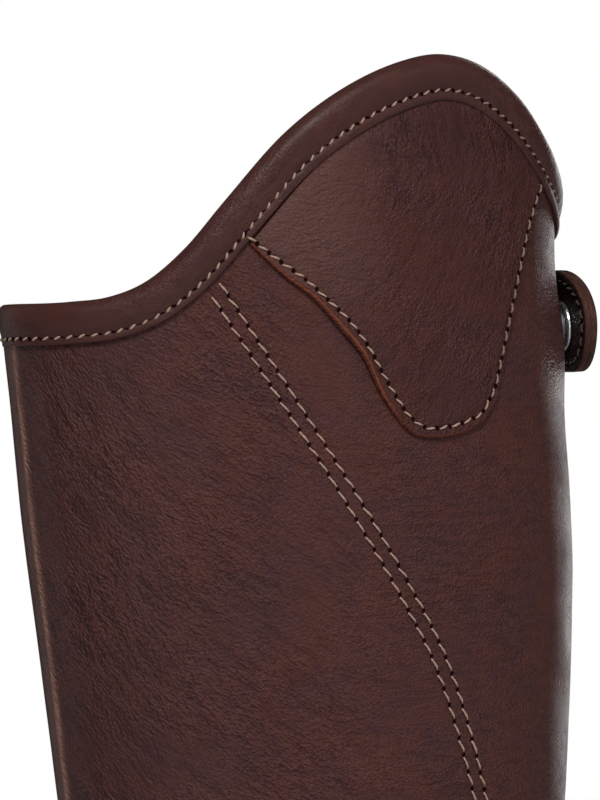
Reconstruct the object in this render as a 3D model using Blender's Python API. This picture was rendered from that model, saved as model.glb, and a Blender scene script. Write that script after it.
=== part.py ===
"""One riding gaiter (half chap) of dark brown leather for the left leg, hollow, in the shape that it
keeps when it is worn, closed down the back by a zip with a snap tab over the zip's top end.

Metres and +Z up in Blender, millimetres in the sizes below. The origin is on the leg's axis, level with
the fullest part of the calf. -X is the shin, +X the calf, -Y the outer side and +Y the inner side.

A place on the leather is (turn, height, lift). turn is in degrees of girth: 0 at the front of the shin,
90 on the outer side, 180 at the back centre, -90 on the inner side. lift is how far outside the
leather's outer face it lies.
"""

import math

import bmesh
import bpy
import numpy as np
from mathutils import Matrix, Vector

METRES_PER_MM = 0.001

# The leg's cross-sections
SECTIONS = (
    # height, front, back, half_width
    (-300, -70.5, 51.0, 44.5),
    (-272, -58.5, 50.0, 40.0),
    (-245, -51.0, 50.2, 37.5),
    (-215, -49.6, 52.3, 37.8),
    (-180, -52.0, 56.5, 39.5),
    (-135, -56.4, 62.5, 42.0),
    (-90, -61.8, 67.5, 44.5),
    (-46, -68.0, 70.8, 46.5),
    (-20, -72.0, 72.0, 47.8),
    (0, -75.0, 72.4, 48.5),
    (15, -77.1, 71.7, 48.5),
    (40, -80.3, 69.5, 48.0),
    (65, -83.2, 67.8, 47.5),
    (100, -87.2, 67.6, 46.5),
    (132, -91.2, 68.2, 46.0),
)
# How much narrower each section is at the shin than at the calf
EGG = 0.18

# The top edge's highest line, all the way round from the zip's inner side to its outer side
TOP_LINE = (
    # turn, height
    (-170, 88.6),
    (-150, 87.8),
    (-138, 86.0),
    (-125, 81.8),
    (-108, 74.8),
    (-88, 68.0),
    (-62, 64.4),
    (-30, 63.4),
    (0, 63.5),
    (18, 64.1),
    (27, 65.3),
    (35.5, 68.9),
    (45, 77.0),
    (55, 88.8),
    (70, 105.7),
    (85, 117.3),
    (98, 123.5),
    (110, 125.9),
    (121, 123.7),
    (133, 116.8),
    (147, 104.9),
    (158, 96.8),
    (168, 92.0),
    (182, 89.4),
    (205, 88.6),
)

# The hem is lowest at the two sides and rises over the instep and over the heel
HEM_LOWEST = -295.0
HEM_RISE_FRONT = 12.0
HEM_RISE_BACK = 8.0

# The slanting seam between the two panels
SEAM_LINE = (
    # height, turn
    (-300, 130.0),
    (-200, 128.0),
    (-130, 123.0),
    (-80, 115.5),
    (-45, 106.0),
    (-22, 97.4),
    (-4, 88.2),
    (20, 76.0),
    (46, 62.6),
    (67, 51.5),
    (85, 41.7),
    (100, 33.5),
)

# Leather
WALL = 2.0
SEAM_GAP = 0.3
FIT_GAP = 0.35

# The binding along the top edge. down is measured from the crest, square to it, along the leather.
BAND_DEPTH = 11.3
BAND_PROFILE = (
    # down, lift, cavity_down, cavity_lift
    (11.3, 1.45, 11.3, 0.35),
    (8.5, 1.20, 8.5, 0.35),
    (6.6, 1.80, 6.6, 0.35),
    (3.6, 2.00, 3.6, 0.35),
    (1.0, 1.20, 1.25, 0.35),
    (0.0, -1.00, 1.25, -1.00),
    (1.0, -3.10, 1.25, -2.35),
    (3.6, -3.70, 3.6, -2.35),
    (11.3, -3.45, 11.3, -2.35),
)
PANEL_TOP_DOWN = 1.6

# The plain narrow binding along the hem
HEM_BAND_PROFILE = (
    # up, lift, cavity_up, cavity_lift
    (8.0, 1.40, 8.0, 0.35),
    (3.4, 1.60, 3.4, 0.35),
    (0.8, 1.00, 1.25, 0.35),
    (0.0, -1.00, 1.25, -1.00),
    (0.8, -3.00, 1.25, -2.35),
    (8.0, -3.40, 8.0, -2.35),
)
PANEL_HEM_UP = 1.6
# The heights between which a panel's side edges meet its hem and its top edge
HEM_SEARCH = (HEM_LOWEST - 4, HEM_LOWEST + 30)
TOP_SEARCH = (40, 110)
HALVINGS = 60

# The shaped leather overlay behind the knee. Its top follows the band's lower edge between two places
# on the crest, and its other three sides are raw cut edges.
OVERLAY_THICKNESS = 1.4
OVERLAY_CREST_FROM = 52.2
OVERLAY_CREST_TO = 149.0
OVERLAY_MIDDLE = 50.0
OVERLAY_FRONT_EDGE = (
    # turn, height
    (67.2, 70.1),
    (73.8, 64.4),
    (79.0, 57.6),
    (83.2, 51.9),
    (87.8, 40.8),
    (92.0, 33.8),
)
OVERLAY_LOW_EDGE = (
    (95.5, 31.1),
    (99.8, 30.6),
    (108.8, 32.0),
    (113.6, 34.2),
    (118.8, 39.7),
)
OVERLAY_BACK_EDGE = (
    (122.4, 49.3),
    (127.2, 61.6),
    (131.9, 73.4),
    (136.6, 84.0),
)

# The zip. across is measured along the leather from the zip's centre line.
ZIP_PAST_BACK_TOP = 18.0
ZIP_PAST_BACK_HEM = 10.0
ZIP_OPENING_HALF = 5.5
TAPE_ACROSS_FROM = 1.2
TAPE_ACROSS_TO = 17.0
TAPE_THICKNESS = 1.0
TAPE_TOP = 75.5
TAPE_FOOT = -277.5
CHAIN_HALF = 3.0
CHAIN_LIFT_LOW = -2.05
CHAIN_LIFT_HIGH = -0.25
CHAIN_FOOT = -275.0
SLIDER_HEIGHT = 38.0
SLIDER_LENGTH = 11.0
SLIDER_WIDTH = 9.0
SLIDER_PLATE_LOW = 0.05
SLIDER_PLATE_HIGH = 1.25
SLIDER_BACK_LOW = -4.95
SLIDER_BACK_HIGH = -3.95
SLIDER_NECK_WIDTH = 1.6
SLIDER_NECK_LENGTH = 3.0
BRIDGE_WIDTH = 1.6
BRIDGE_END = 4.4
BRIDGE_BAR = 1.2
BRIDGE_LIFT_LOW = 3.3
BRIDGE_LIFT_HIGH = 4.4
PULL_THICKNESS = 1.1
PULL_BAR_LIFT = 2.25
PULL_BAR_UP = -2.0
PULL_WINDOW = 7.8
PULL_WINDOW_HALF = 1.3
PULL_ARM = 1.3
PULL_LENGTH = 25.0
PULL_END_HALF = 3.4
PULL_SHOULDER = 2.0
PULL_FLARE = 5.0
PULL_CORNER = 2.0

# The snap tab. along is measured from the snap's centre, below 0 towards the tip.
SNAP_TURN = 171.8
SNAP_HEIGHT = 59.6
TAB_HALF_WIDTH = 12.9
TAB_THICKNESS = 3.1
TAB_LIFT_AT_SNAP = 4.3
TAB_TIP = -15.8
TAB_ROOT = 47.0
TAB_TIP_ROUND_UPPER = 24.0
TAB_TIP_ROUND_LOWER = 13.0
TAB_ROOT_ROUND = 7.0
TAB_STRAIGHT_TO = 4.0
TAB_DOWN_BY = 26.0
TAB_BLUNT = 0.25

# The press stud, as radii and lifts above the leather at the snap's centre
STUD_PROFILE = ((0, 0.35), (5.0, 0.35), (5.0, 1.3), (2.2, 1.6), (2.2, 3.6), (0, 3.6))
SOCKET_PROFILE = ((2.6, 2.3), (5.4, 2.3), (6.25, 3.0), (6.25, 3.8), (5.9, 4.0), (2.6, 4.0))
CAP_PROFILE = ((0, 7.75), (6.25, 7.75), (6.25, 8.1), (5.2, 8.9), (3.0, 9.4), (0, 9.5))
ROUND_SIDES = 24

# How finely the solids are divided
PANEL_ROWS = 26
FRONT_COLUMNS = 42
OUTER_COLUMNS = 20
BAND_STATIONS = 62
OVERLAY_COLUMNS = 18
OVERLAY_ROWS = 12
CHAIN_ROWS = 24
TAB_STATIONS = 24
TAB_COLUMNS = 6
# The shin is rounded more tightly than the rest, so the stations stand closer together there
SHIN_DENSITY = 0.9
SHIN_SPREAD = 36.0


def smooth(table, column, x):
    """Reads a column of a table at x, along a smooth curve through its rows. The first column is x."""
    rows = np.array(table, float)
    xs = rows[:, 0]
    ys = rows[:, column]
    slopes = np.gradient(ys, xs)
    x = np.asarray(x, float)
    i = np.clip(np.searchsorted(xs, x) - 1, 0, len(xs) - 2)
    step = xs[i + 1] - xs[i]
    t = (x - xs[i]) / step
    value = (1 + 2 * t) * (1 - t) ** 2 * ys[i] + t * t * (3 - 2 * t) * ys[i + 1]
    return value + step * (t * (1 - t) ** 2 * slopes[i] + t * t * (t - 1) * slopes[i + 1])


def section_point(angle, height):
    """A point of the leg's cross-section, by its angle round an egg-shaped ellipse."""
    front = smooth(SECTIONS, 1, height)
    back = smooth(SECTIONS, 2, height)
    half_width = smooth(SECTIONS, 3, height)
    x = (front + back) / 2 - (back - front) / 2 * np.cos(angle)
    y = -half_width * np.sin(angle) * (1 - EGG * np.cos(angle))
    return np.stack([x, y, np.broadcast_to(height, x.shape)], -1)


# The angle that belongs to each turn, worked out once from the length of each cross-section
ANGLES = np.linspace(-math.pi, math.pi, 721)
TURNS = np.linspace(-180, 180, 721)
LEVELS = np.linspace(-300, 132, 217)


def angle_table():
    girths = []
    rows = []
    for level in LEVELS:
        points = section_point(ANGLES, level)
        steps = np.linalg.norm(np.diff(points, axis=0), axis=1)
        along = np.concatenate([[0], np.cumsum(steps)])
        along -= along[len(along) // 2]
        girths.append(2 * along[-1])
        rows.append(np.interp(TURNS, along / along[-1] * 180, ANGLES))
    return np.array(girths), np.array(rows)


GIRTHS, ANGLE_ROWS = angle_table()


def girth(height):
    return np.interp(height, LEVELS, GIRTHS)


def angle_of(turn, height):
    turn = (np.asarray(turn, float) + 180) % 360 - 180
    i = (np.clip(height, LEVELS[0], LEVELS[-1] - 1e-6) - LEVELS[0]) / (LEVELS[1] - LEVELS[0])
    j = (turn - TURNS[0]) / (TURNS[1] - TURNS[0])
    low_i = np.floor(i).astype(int)
    low_j = np.minimum(np.floor(j).astype(int), len(TURNS) - 2)
    u = i - low_i
    v = j - low_j
    below = ANGLE_ROWS[low_i, low_j] * (1 - v) + ANGLE_ROWS[low_i, low_j + 1] * v
    above = ANGLE_ROWS[low_i + 1, low_j] * (1 - v) + ANGLE_ROWS[low_i + 1, low_j + 1] * v
    return below * (1 - u) + above * u


def skin_axes(turn, height):
    """The point on the leather's outer face, and the directions of rising turn, up and outward there."""
    turn, height = np.broadcast_arrays(np.asarray(turn, float), np.asarray(height, float))
    angle = angle_of(turn, height)
    point = section_point(angle, height)
    round_leg = section_point(angle + 1e-3, height) - section_point(angle - 1e-3, height)
    upward = section_point(angle, height + 0.5) - section_point(angle, height - 0.5)
    outward = np.cross(round_leg, upward)
    outward /= np.linalg.norm(outward, axis=-1, keepdims=True)
    round_leg /= np.linalg.norm(round_leg, axis=-1, keepdims=True)
    return point, round_leg, np.cross(outward, round_leg), outward


def skin(turn, height, lift):
    point, _, _, outward = skin_axes(turn, height)
    return point + np.asarray(lift, float)[..., None] * outward


def top_line(turn):
    return smooth(TOP_LINE, 1, turn)


def hem_line(turn):
    across = np.cos(np.radians(turn))
    rise = np.where(across > 0, HEM_RISE_FRONT, HEM_RISE_BACK)
    return HEM_LOWEST + rise * across**2


def seam_turn(height):
    return smooth(SEAM_LINE, 1, height)


def zip_turn(height, across=0.0):
    """The turn of a place beside the zip's centre line, which starts and ends past the back centre."""
    share = (np.asarray(height, float) - HEM_LOWEST) / (TAPE_TOP - HEM_LOWEST)
    past = ZIP_PAST_BACK_HEM + (ZIP_PAST_BACK_TOP - ZIP_PAST_BACK_HEM) * share
    return 180 + 360 * (past + across) / girth(height)


def inset(line, turn, distance, towards):
    """The place this far inside an edge line, square to it. towards is -1 for downward, 1 for upward."""
    height = line(turn)
    mm_per_degree = girth(height) / 360
    slope = (line(turn + 0.5) - line(turn - 0.5)) / mm_per_degree
    length = np.hypot(1, slope)
    return turn - towards * distance * slope / length / mm_per_degree, height + towards * distance / length


# All the turns from the zip's inner side round to its outer side
LINE_TURNS = np.linspace(-175, 205, 761)


def inset_line(line, distance, towards):
    """The edge line moved inward, as a function of turn."""
    moved, heights = inset(line, LINE_TURNS, distance, towards)
    return lambda turn: np.interp(turn, moved, heights)


def crossing(line, edge_turn, low, high):
    """The height at which an edge that is a function of height meets a line that is one of turn."""
    for _ in range(HALVINGS):
        middle = (low + high) / 2
        if middle < line(edge_turn(middle)):
            low = middle
        else:
            high = middle
    return low


# Turn stretched so that equal steps of it stand closer together at the shin
STRETCH_TURNS = np.linspace(-185, 215, 1601)
STRETCH_DENSITY = 1 + SHIN_DENSITY * np.exp(-((STRETCH_TURNS / SHIN_SPREAD) ** 2))
STRETCHED = np.cumsum(STRETCH_DENSITY)


def stretched(turn):
    return np.interp(turn, STRETCH_TURNS, STRETCHED)


def unstretched(value):
    return np.interp(value, STRETCHED, STRETCH_TURNS)


def graded_turns(start, end, count):
    return unstretched(np.linspace(stretched(start), stretched(end), count))


def patch(low, high, left, right):
    """Fills in a grid between four edges, each an array of (turn, height), that meet at their ends."""
    u = np.linspace(0, 1, len(low))[:, None, None]
    v = np.linspace(0, 1, len(left))[None, :, None]
    sides = (1 - v) * low[:, None] + v * high[:, None] + (1 - u) * left[None] + u * right[None]
    corners = (1 - u) * ((1 - v) * low[0] + v * high[0]) + u * ((1 - v) * low[-1] + v * high[-1])
    return sides - corners


def through(points, count):
    """Evenly spaced places on one smooth curve through the given ones."""
    points = np.array(points, float)
    steps = np.hypot(np.diff(points[:, 0]) * girth(OVERLAY_MIDDLE) / 360, np.diff(points[:, 1]))
    along = np.concatenate([[0], np.cumsum(steps)])
    table = np.column_stack([along, points])
    spots = np.linspace(0, along[-1], count)
    return np.column_stack([smooth(table, 1, spots), smooth(table, 2, spots)])


def material(name, colour, roughness, metallic):
    made = bpy.data.materials.new(name)
    made.use_nodes = True
    shader = made.node_tree.nodes["Principled BSDF"]
    shader.inputs["Base Color"].default_value = (*colour, 1)
    shader.inputs["Roughness"].default_value = roughness
    shader.inputs["Metallic"].default_value = metallic
    made.diffuse_color = (*colour, 1)
    return made


def solid(name, points_mm, faces, finish, place=None):
    """One closed mesh object. place is the frame that its points are measured in."""
    mesh = bpy.data.meshes.new(name)
    mesh.from_pydata((np.asarray(points_mm, float) * METRES_PER_MM).tolist(), [], faces)
    shaped = bmesh.new()
    shaped.from_mesh(mesh)
    bmesh.ops.recalc_face_normals(shaped, faces=shaped.faces)
    shaped.to_mesh(mesh)
    shaped.free()
    mesh.shade_smooth()
    mesh.set_sharp_from_angle(angle=math.radians(35))
    mesh.materials.append(finish)
    made = bpy.data.objects.new(name, mesh)
    bpy.context.scene.collection.objects.link(made)
    if place is not None:
        made.matrix_world = place
    return made


def slab(name, outer, inner, finish):
    """A closed wall between two grids of points, each columns by rows by 3."""
    columns, rows = outer.shape[:2]
    count = columns * rows
    faces = []
    for i in range(columns - 1):
        for j in range(rows - 1):
            a, b = i * rows + j, (i + 1) * rows + j
            faces.append((a, b, b + 1, a + 1))
            faces.append((a + count, a + 1 + count, b + 1 + count, b + count))
    rim = [i * rows for i in range(columns)]
    rim += [(columns - 1) * rows + j for j in range(1, rows)]
    rim += [i * rows + rows - 1 for i in range(columns - 2, -1, -1)]
    rim += list(range(rows - 2, 0, -1))
    for a, b in zip(rim, rim[1:] + rim[:1]):
        faces.append((b, a, a + count, b + count))
    points = np.concatenate([outer.reshape(-1, 3), inner.reshape(-1, 3)])
    return solid(name, points, faces, finish)


def turned(name, profile, finish, place):
    """A solid of revolution about its frame's Z axis, from a profile of (radius, height)."""
    points = []
    rings = []
    for radius, height in profile:
        sides = ROUND_SIDES if radius else 1
        rings.append(range(len(points), len(points) + sides))
        for k in range(sides):
            angle = 2 * math.pi * k / sides
            points.append((radius * math.cos(angle), radius * math.sin(angle), height))
    whole = profile[0][0] > 0
    faces = []
    for a, b in zip(rings, rings[1:] + (rings[:1] if whole else [])):
        for k in range(ROUND_SIDES):
            corners = [a[k % len(a)], a[(k + 1) % len(a)], b[(k + 1) % len(b)], b[k % len(b)]]
            faces.append(tuple(dict.fromkeys(corners)))
    return solid(name, points, faces, finish, place)


def box(name, low, high, finish, place):
    corners = [(x, y, z) for x in (low[0], high[0]) for y in (low[1], high[1]) for z in (low[2], high[2])]
    faces = [(0, 1, 3, 2), (4, 6, 7, 5), (0, 4, 5, 1), (2, 3, 7, 6), (0, 2, 6, 4), (1, 5, 7, 3)]
    return solid(name, corners, faces, finish, place)


def combine(target, others, operation):
    """Joins the helper solids to the target, or cuts them from it, and keeps the helpers out of sight."""
    for other in others:
        other.hide_render = True
        other.display_type = "WIRE"
        modifier = target.modifiers.new(other.name, "BOOLEAN")
        modifier.operation = operation
        modifier.solver = "EXACT"
        modifier.object = other


def surface_frame(turn, height):
    """A frame on the leather: X round the leg, Y up and Z outward."""
    point, round_leg, upward, outward = skin_axes(turn, height)
    made = Matrix.Identity(4)
    for k, axis in enumerate((round_leg, upward, outward)):
        made.col[k].xyz = Vector(axis)
    made.translation = Vector(point) * METRES_PER_MM
    return made


def edge_columns(line, from_turn, to_turn, columns):
    turns = graded_turns(from_turn, to_turn, columns + 1)
    return np.column_stack([stretched(turns), line(turns)])


def panel(name, left_turn, right_turn, columns, finish):
    """A leather wall from hem to top edge between two side edges, each a function of height."""
    top = inset_line(top_line, PANEL_TOP_DOWN, -1)
    hem = inset_line(hem_line, PANEL_HEM_UP, 1)
    sides = []
    for edge in (left_turn, right_turn):
        low = crossing(hem, edge, *HEM_SEARCH)
        high = crossing(top, edge, *TOP_SEARCH)
        heights = np.linspace(low, high, PANEL_ROWS + 1)
        sides.append(np.column_stack([stretched(edge(heights)), heights]))
    left, right = sides
    low = edge_columns(hem, left_turn(left[0, 1]), right_turn(right[0, 1]), columns)
    high = edge_columns(top, left_turn(left[-1, 1]), right_turn(right[-1, 1]), columns)
    grid = patch(low, high, left, right)
    turn = unstretched(grid[..., 0])
    return slab(name, skin(turn, grid[..., 1], 0.0), skin(turn, grid[..., 1], -WALL), finish)


def seam_side(offset):
    return lambda height: seam_turn(height) + 360 * offset / girth(height)


def zip_side(offset, round_by=0.0):
    return lambda height: zip_turn(height, offset) - round_by


def make_panels(leather):
    # The inner side of the zip is one full turn back from where the outer side ends
    inner_edge = zip_side(ZIP_OPENING_HALF, 360)
    panel("front_panel", inner_edge, seam_side(-SEAM_GAP / 2), FRONT_COLUMNS, leather)
    panel("outer_panel", seam_side(SEAM_GAP / 2), zip_side(-ZIP_OPENING_HALF), OUTER_COLUMNS, leather)


def make_binding(name, line, profile, towards, finish):
    """A strip folded over an edge of the panels, from one side of the zip round to the other."""
    ends = []
    for offset, round_by in ((ZIP_OPENING_HALF, 360), (-ZIP_OPENING_HALF, 0)):
        edge = zip_side(offset, round_by)
        ends.append(edge(line(edge(0.0 if towards < 0 else HEM_LOWEST))))
    turns = graded_turns(ends[0], ends[1], BAND_STATIONS + 1)
    outer = []
    cavity = []
    for distance, lift, cavity_distance, cavity_lift in profile:
        outer.append(skin(*inset(line, turns, distance, towards), lift))
        cavity.append(skin(*inset(line, turns, cavity_distance, towards), cavity_lift))
    return slab(name, np.stack(outer, 1), np.stack(cavity, 1), finish)


def make_overlay(leather):
    crest = graded_turns(OVERLAY_CREST_FROM, OVERLAY_CREST_TO, OVERLAY_COLUMNS + 1)
    high = np.column_stack(inset(top_line, crest, BAND_DEPTH + FIT_GAP, -1))
    corner_front = OVERLAY_FRONT_EDGE[-1]
    corner_back = OVERLAY_LOW_EDGE[-1]
    left = through((tuple(high[0]), *OVERLAY_FRONT_EDGE), OVERLAY_ROWS + 1)[::-1]
    low = through((corner_front, *OVERLAY_LOW_EDGE), OVERLAY_COLUMNS + 1)
    right = through((corner_back, *OVERLAY_BACK_EDGE, tuple(high[-1])), OVERLAY_ROWS + 1)
    grid = patch(low, high, left, right)
    outer = skin(grid[..., 0], grid[..., 1], FIT_GAP + OVERLAY_THICKNESS)
    slab("knee_overlay", outer, skin(grid[..., 0], grid[..., 1], FIT_GAP), leather)


def zip_strip(name, across_from, across_to, foot, top, lift_low, lift_high, finish):
    heights = np.linspace(foot, top, CHAIN_ROWS + 1)[None]
    across = np.linspace(across_from, across_to, 3)[:, None]
    turn = zip_turn(heights, across)
    heights = np.broadcast_to(heights, turn.shape)
    slab(name, skin(turn, heights, lift_high), skin(turn, heights, lift_low), finish)


def make_zip(tape, metal):
    tape_high = -WALL - FIT_GAP
    tape_low = tape_high - TAPE_THICKNESS
    for name, side in (("zip_tape_outer", -1), ("zip_tape_inner", 1)):
        near, far = sorted((side * TAPE_ACROSS_FROM, side * TAPE_ACROSS_TO))
        zip_strip(name, near, far, TAPE_FOOT, TAPE_TOP, tape_low, tape_high, tape)
    neck_foot = SLIDER_LENGTH / 2 - SLIDER_NECK_LENGTH
    chain_top = SLIDER_HEIGHT + neck_foot - FIT_GAP
    zip_strip(
        "zip_chain", -CHAIN_HALF, CHAIN_HALF, CHAIN_FOOT, chain_top, CHAIN_LIFT_LOW, CHAIN_LIFT_HIGH, metal
    )
    make_slider(metal, neck_foot)
    make_pull(metal)


def slider_frame():
    return surface_frame(zip_turn(SLIDER_HEIGHT), SLIDER_HEIGHT)


def make_slider(metal, neck_foot):
    """A plate over the chain and one behind the tapes, joined by a neck, with a bridge for the pull."""
    place = slider_frame()
    half_width = SLIDER_WIDTH / 2
    half_length = SLIDER_LENGTH / 2
    post = BRIDGE_WIDTH / 2
    plate = box(
        "zip_slider",
        (-half_width, -half_length, SLIDER_PLATE_LOW),
        (half_width, half_length, SLIDER_PLATE_HIGH),
        metal,
        place,
    )
    overlap = 0.2
    pieces = (
        # name, low, high
        (
            "slider_back",
            (-half_width, -half_length, SLIDER_BACK_LOW),
            (half_width, half_length, SLIDER_BACK_HIGH),
        ),
        (
            "slider_neck",
            (-SLIDER_NECK_WIDTH / 2, neck_foot, SLIDER_BACK_HIGH - overlap),
            (SLIDER_NECK_WIDTH / 2, half_length - overlap, SLIDER_PLATE_LOW + overlap),
        ),
        (
            "bridge_low_post",
            (-post, -BRIDGE_END, SLIDER_PLATE_HIGH - overlap),
            (post, -BRIDGE_END + BRIDGE_BAR, BRIDGE_LIFT_HIGH - overlap),
        ),
        (
            "bridge_high_post",
            (-post, BRIDGE_END - BRIDGE_BAR, SLIDER_PLATE_HIGH - overlap),
            (post, BRIDGE_END, BRIDGE_LIFT_HIGH - overlap),
        ),
        (
            "bridge_beam",
            (-post - overlap / 2, -BRIDGE_END - overlap / 2, BRIDGE_LIFT_LOW),
            (post + overlap / 2, BRIDGE_END + overlap / 2, BRIDGE_LIFT_HIGH),
        ),
    )
    combine(plate, [box(name, low, high, metal, place) for name, low, high in pieces], "UNION")


def make_pull(metal):
    """The pull tab. Its origin is on the axis of the bar that lies under the slider's bridge."""
    pivot = slider_frame() @ Matrix.Translation(Vector((0, PULL_BAR_UP, PULL_BAR_LIFT)) * METRES_PER_MM)
    arm = PULL_WINDOW_HALF + PULL_ARM
    half = PULL_THICKNESS / 2
    foot = half - PULL_LENGTH
    right = (
        (arm, half),
        (arm, -PULL_WINDOW - PULL_SHOULDER),
        (PULL_END_HALF, foot + PULL_FLARE),
        (PULL_END_HALF, foot + PULL_CORNER),
        (PULL_END_HALF - PULL_CORNER, foot),
    )
    outline = [(-x, y) for x, y in right] + list(right[::-1])
    count = len(outline)
    points = [(x, y, z) for z in (-half, half) for x, y in outline]
    faces = [tuple(range(count))[::-1], tuple(range(count, 2 * count))]
    faces += [(k, (k + 1) % count, (k + 1) % count + count, k + count) for k in range(count)]
    pull = solid("zip_pull", points, faces, metal, pivot)
    window = box(
        "pull_window",
        (-PULL_WINDOW_HALF, -PULL_WINDOW, -2 * half),
        (PULL_WINDOW_HALF, -half, 2 * half),
        metal,
        pivot,
    )
    combine(pull, [window], "DIFFERENCE")


def round_end(along, end, length):
    """The share of the full width near a rounded end: 1 beyond its length, falling to a blunt tip."""
    share = np.clip(1 - np.abs(along - end) / length, 0, 1)
    return np.maximum(np.sqrt(1 - share**2), TAB_BLUNT)


def tab_points(along, up, lift):
    """The tab leaves the snap straight and comes down onto the leather on the zip's far side."""
    point, round_leg, upward, outward = skin_axes(SNAP_TURN, SNAP_HEIGHT)
    along_3 = along[..., None]
    straight = point + along_3 * round_leg + up[..., None] * upward + (TAB_LIFT_AT_SNAP + lift) * outward
    laid = skin(SNAP_TURN + 360 * along / girth(SNAP_HEIGHT), SNAP_HEIGHT + up, FIT_GAP + lift)
    t = np.clip((along_3 - TAB_STRAIGHT_TO) / (TAB_DOWN_BY - TAB_STRAIGHT_TO), 0, 1)
    share = t * t * (3 - 2 * t)
    return straight * (1 - share) + laid * share


def make_tab(leather):
    spread = (1 - np.cos(np.linspace(0, math.pi, TAB_STATIONS + 1))) / 2
    along = (TAB_TIP + (TAB_ROOT - TAB_TIP) * spread)[:, None]
    root = round_end(along, TAB_ROOT, TAB_ROOT_ROUND)
    upper = TAB_HALF_WIDTH * np.minimum(round_end(along, TAB_TIP, TAB_TIP_ROUND_UPPER), root)
    lower = TAB_HALF_WIDTH * np.minimum(round_end(along, TAB_TIP, TAB_TIP_ROUND_LOWER), root)
    share = np.linspace(0, 1, TAB_COLUMNS + 1)[None]
    up = -lower * (1 - share) + upper * share
    along = np.broadcast_to(along, up.shape)
    slab("snap_tab", tab_points(along, up, TAB_THICKNESS), tab_points(along, up, 0.0), leather)


def make_snap(metal):
    place = surface_frame(SNAP_TURN, SNAP_HEIGHT)
    for name, profile in (
        ("snap_stud", STUD_PROFILE),
        ("snap_socket", SOCKET_PROFILE),
        ("snap_cap", CAP_PROFILE),
    ):
        turned(name, profile, metal, place)


def main():
    for old in list(bpy.data.objects):
        bpy.data.objects.remove(old)
    leather = material("brown_leather", (0.048, 0.018, 0.015), 0.5, 0.0)
    binding = material("brown_binding", (0.055, 0.023, 0.018), 0.42, 0.0)
    overlay = material("brown_overlay", (0.06, 0.022, 0.019), 0.5, 0.0)
    tape = material("zip_tape", (0.012, 0.008, 0.007), 0.9, 0.0)
    zip_metal = material("zip_metal", (0.12, 0.09, 0.07), 0.35, 1.0)
    snap_metal = material("snap_metal", (0.62, 0.62, 0.63), 0.25, 1.0)
    make_panels(leather)
    make_binding("top_band", top_line, BAND_PROFILE, -1, binding)
    make_binding("hem_band", hem_line, HEM_BAND_PROFILE, 1, binding)
    make_overlay(overlay)
    make_zip(tape, zip_metal)
    make_tab(binding)
    make_snap(snap_metal)


main()
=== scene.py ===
"""The looks of one riding gaiter of dark brown grained leather: fine sewn leather shells, stitching, zip,
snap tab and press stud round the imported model, with a camera, a floor and soft studio light.

Sizes are in millimetres. A place on the leather is (turn, height, lift): turn is in degrees of girth, 0 at
the front of the shin, 90 on the outer side, 180 at the back centre, and lift is how far outside the
leather's outer face it lies.
"""

import math

import bmesh
import bpy
import numpy as np
from mathutils import Matrix, Vector


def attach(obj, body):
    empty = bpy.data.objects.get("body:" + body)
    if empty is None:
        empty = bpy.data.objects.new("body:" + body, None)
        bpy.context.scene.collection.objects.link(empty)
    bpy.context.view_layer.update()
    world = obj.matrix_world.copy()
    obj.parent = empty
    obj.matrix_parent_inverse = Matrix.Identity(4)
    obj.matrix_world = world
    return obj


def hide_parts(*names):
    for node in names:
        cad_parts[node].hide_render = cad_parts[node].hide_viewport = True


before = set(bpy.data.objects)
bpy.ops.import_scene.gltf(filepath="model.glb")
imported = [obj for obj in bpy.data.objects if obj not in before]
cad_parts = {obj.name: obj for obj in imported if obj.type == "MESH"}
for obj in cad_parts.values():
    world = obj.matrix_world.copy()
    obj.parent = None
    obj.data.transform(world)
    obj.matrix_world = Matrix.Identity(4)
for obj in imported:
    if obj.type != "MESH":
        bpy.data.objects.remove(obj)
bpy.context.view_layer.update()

METRES_PER_MM = 0.001

# The leg's cross-sections
SECTIONS = (
    # height, front, back, half_width
    (-300, -70.5, 51.0, 44.5),
    (-272, -58.5, 50.0, 40.0),
    (-245, -51.0, 50.2, 37.5),
    (-215, -49.6, 52.3, 37.8),
    (-180, -52.0, 56.5, 39.5),
    (-135, -56.4, 62.5, 42.0),
    (-90, -61.8, 67.5, 44.5),
    (-46, -68.0, 70.8, 46.5),
    (-20, -72.0, 72.0, 47.8),
    (0, -75.0, 72.4, 48.5),
    (15, -77.1, 71.7, 48.5),
    (40, -80.3, 69.5, 48.0),
    (65, -83.2, 67.8, 47.5),
    (100, -87.2, 67.6, 46.5),
    (132, -91.2, 68.2, 46.0),
)
EGG = 0.18

# The top edge's highest line
TOP_LINE = (
    # turn, height
    (-170, 88.6), (-150, 87.8), (-138, 86.0), (-125, 81.8), (-108, 74.8), (-88, 68.0), (-62, 64.4),
    (-30, 63.4), (0, 63.5), (18, 64.1), (27, 65.3), (35.5, 68.9), (45, 77.0), (55, 88.8), (70, 105.7),
    (85, 117.3), (98, 123.5), (110, 125.9), (121, 123.7), (133, 116.8), (147, 104.9), (158, 96.8),
    (168, 92.0), (182, 89.4), (205, 88.6),
)
HEM_LOWEST = -295.0
HEM_RISE_FRONT = 12.0
HEM_RISE_BACK = 8.0

# The slanting seam between the two panels
SEAM_LINE = (
    # height, turn
    (-300, 130.0), (-200, 128.0), (-130, 123.0), (-80, 115.5), (-45, 106.0), (-22, 97.4), (-4, 88.2),
    (20, 76.0), (46, 62.6), (67, 51.5), (85, 41.7), (100, 33.5),
)
WALL = 2.0
FIT_GAP = 0.35
PANEL_TOP_DOWN = 1.6
PANEL_HEM_UP = 1.6

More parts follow.
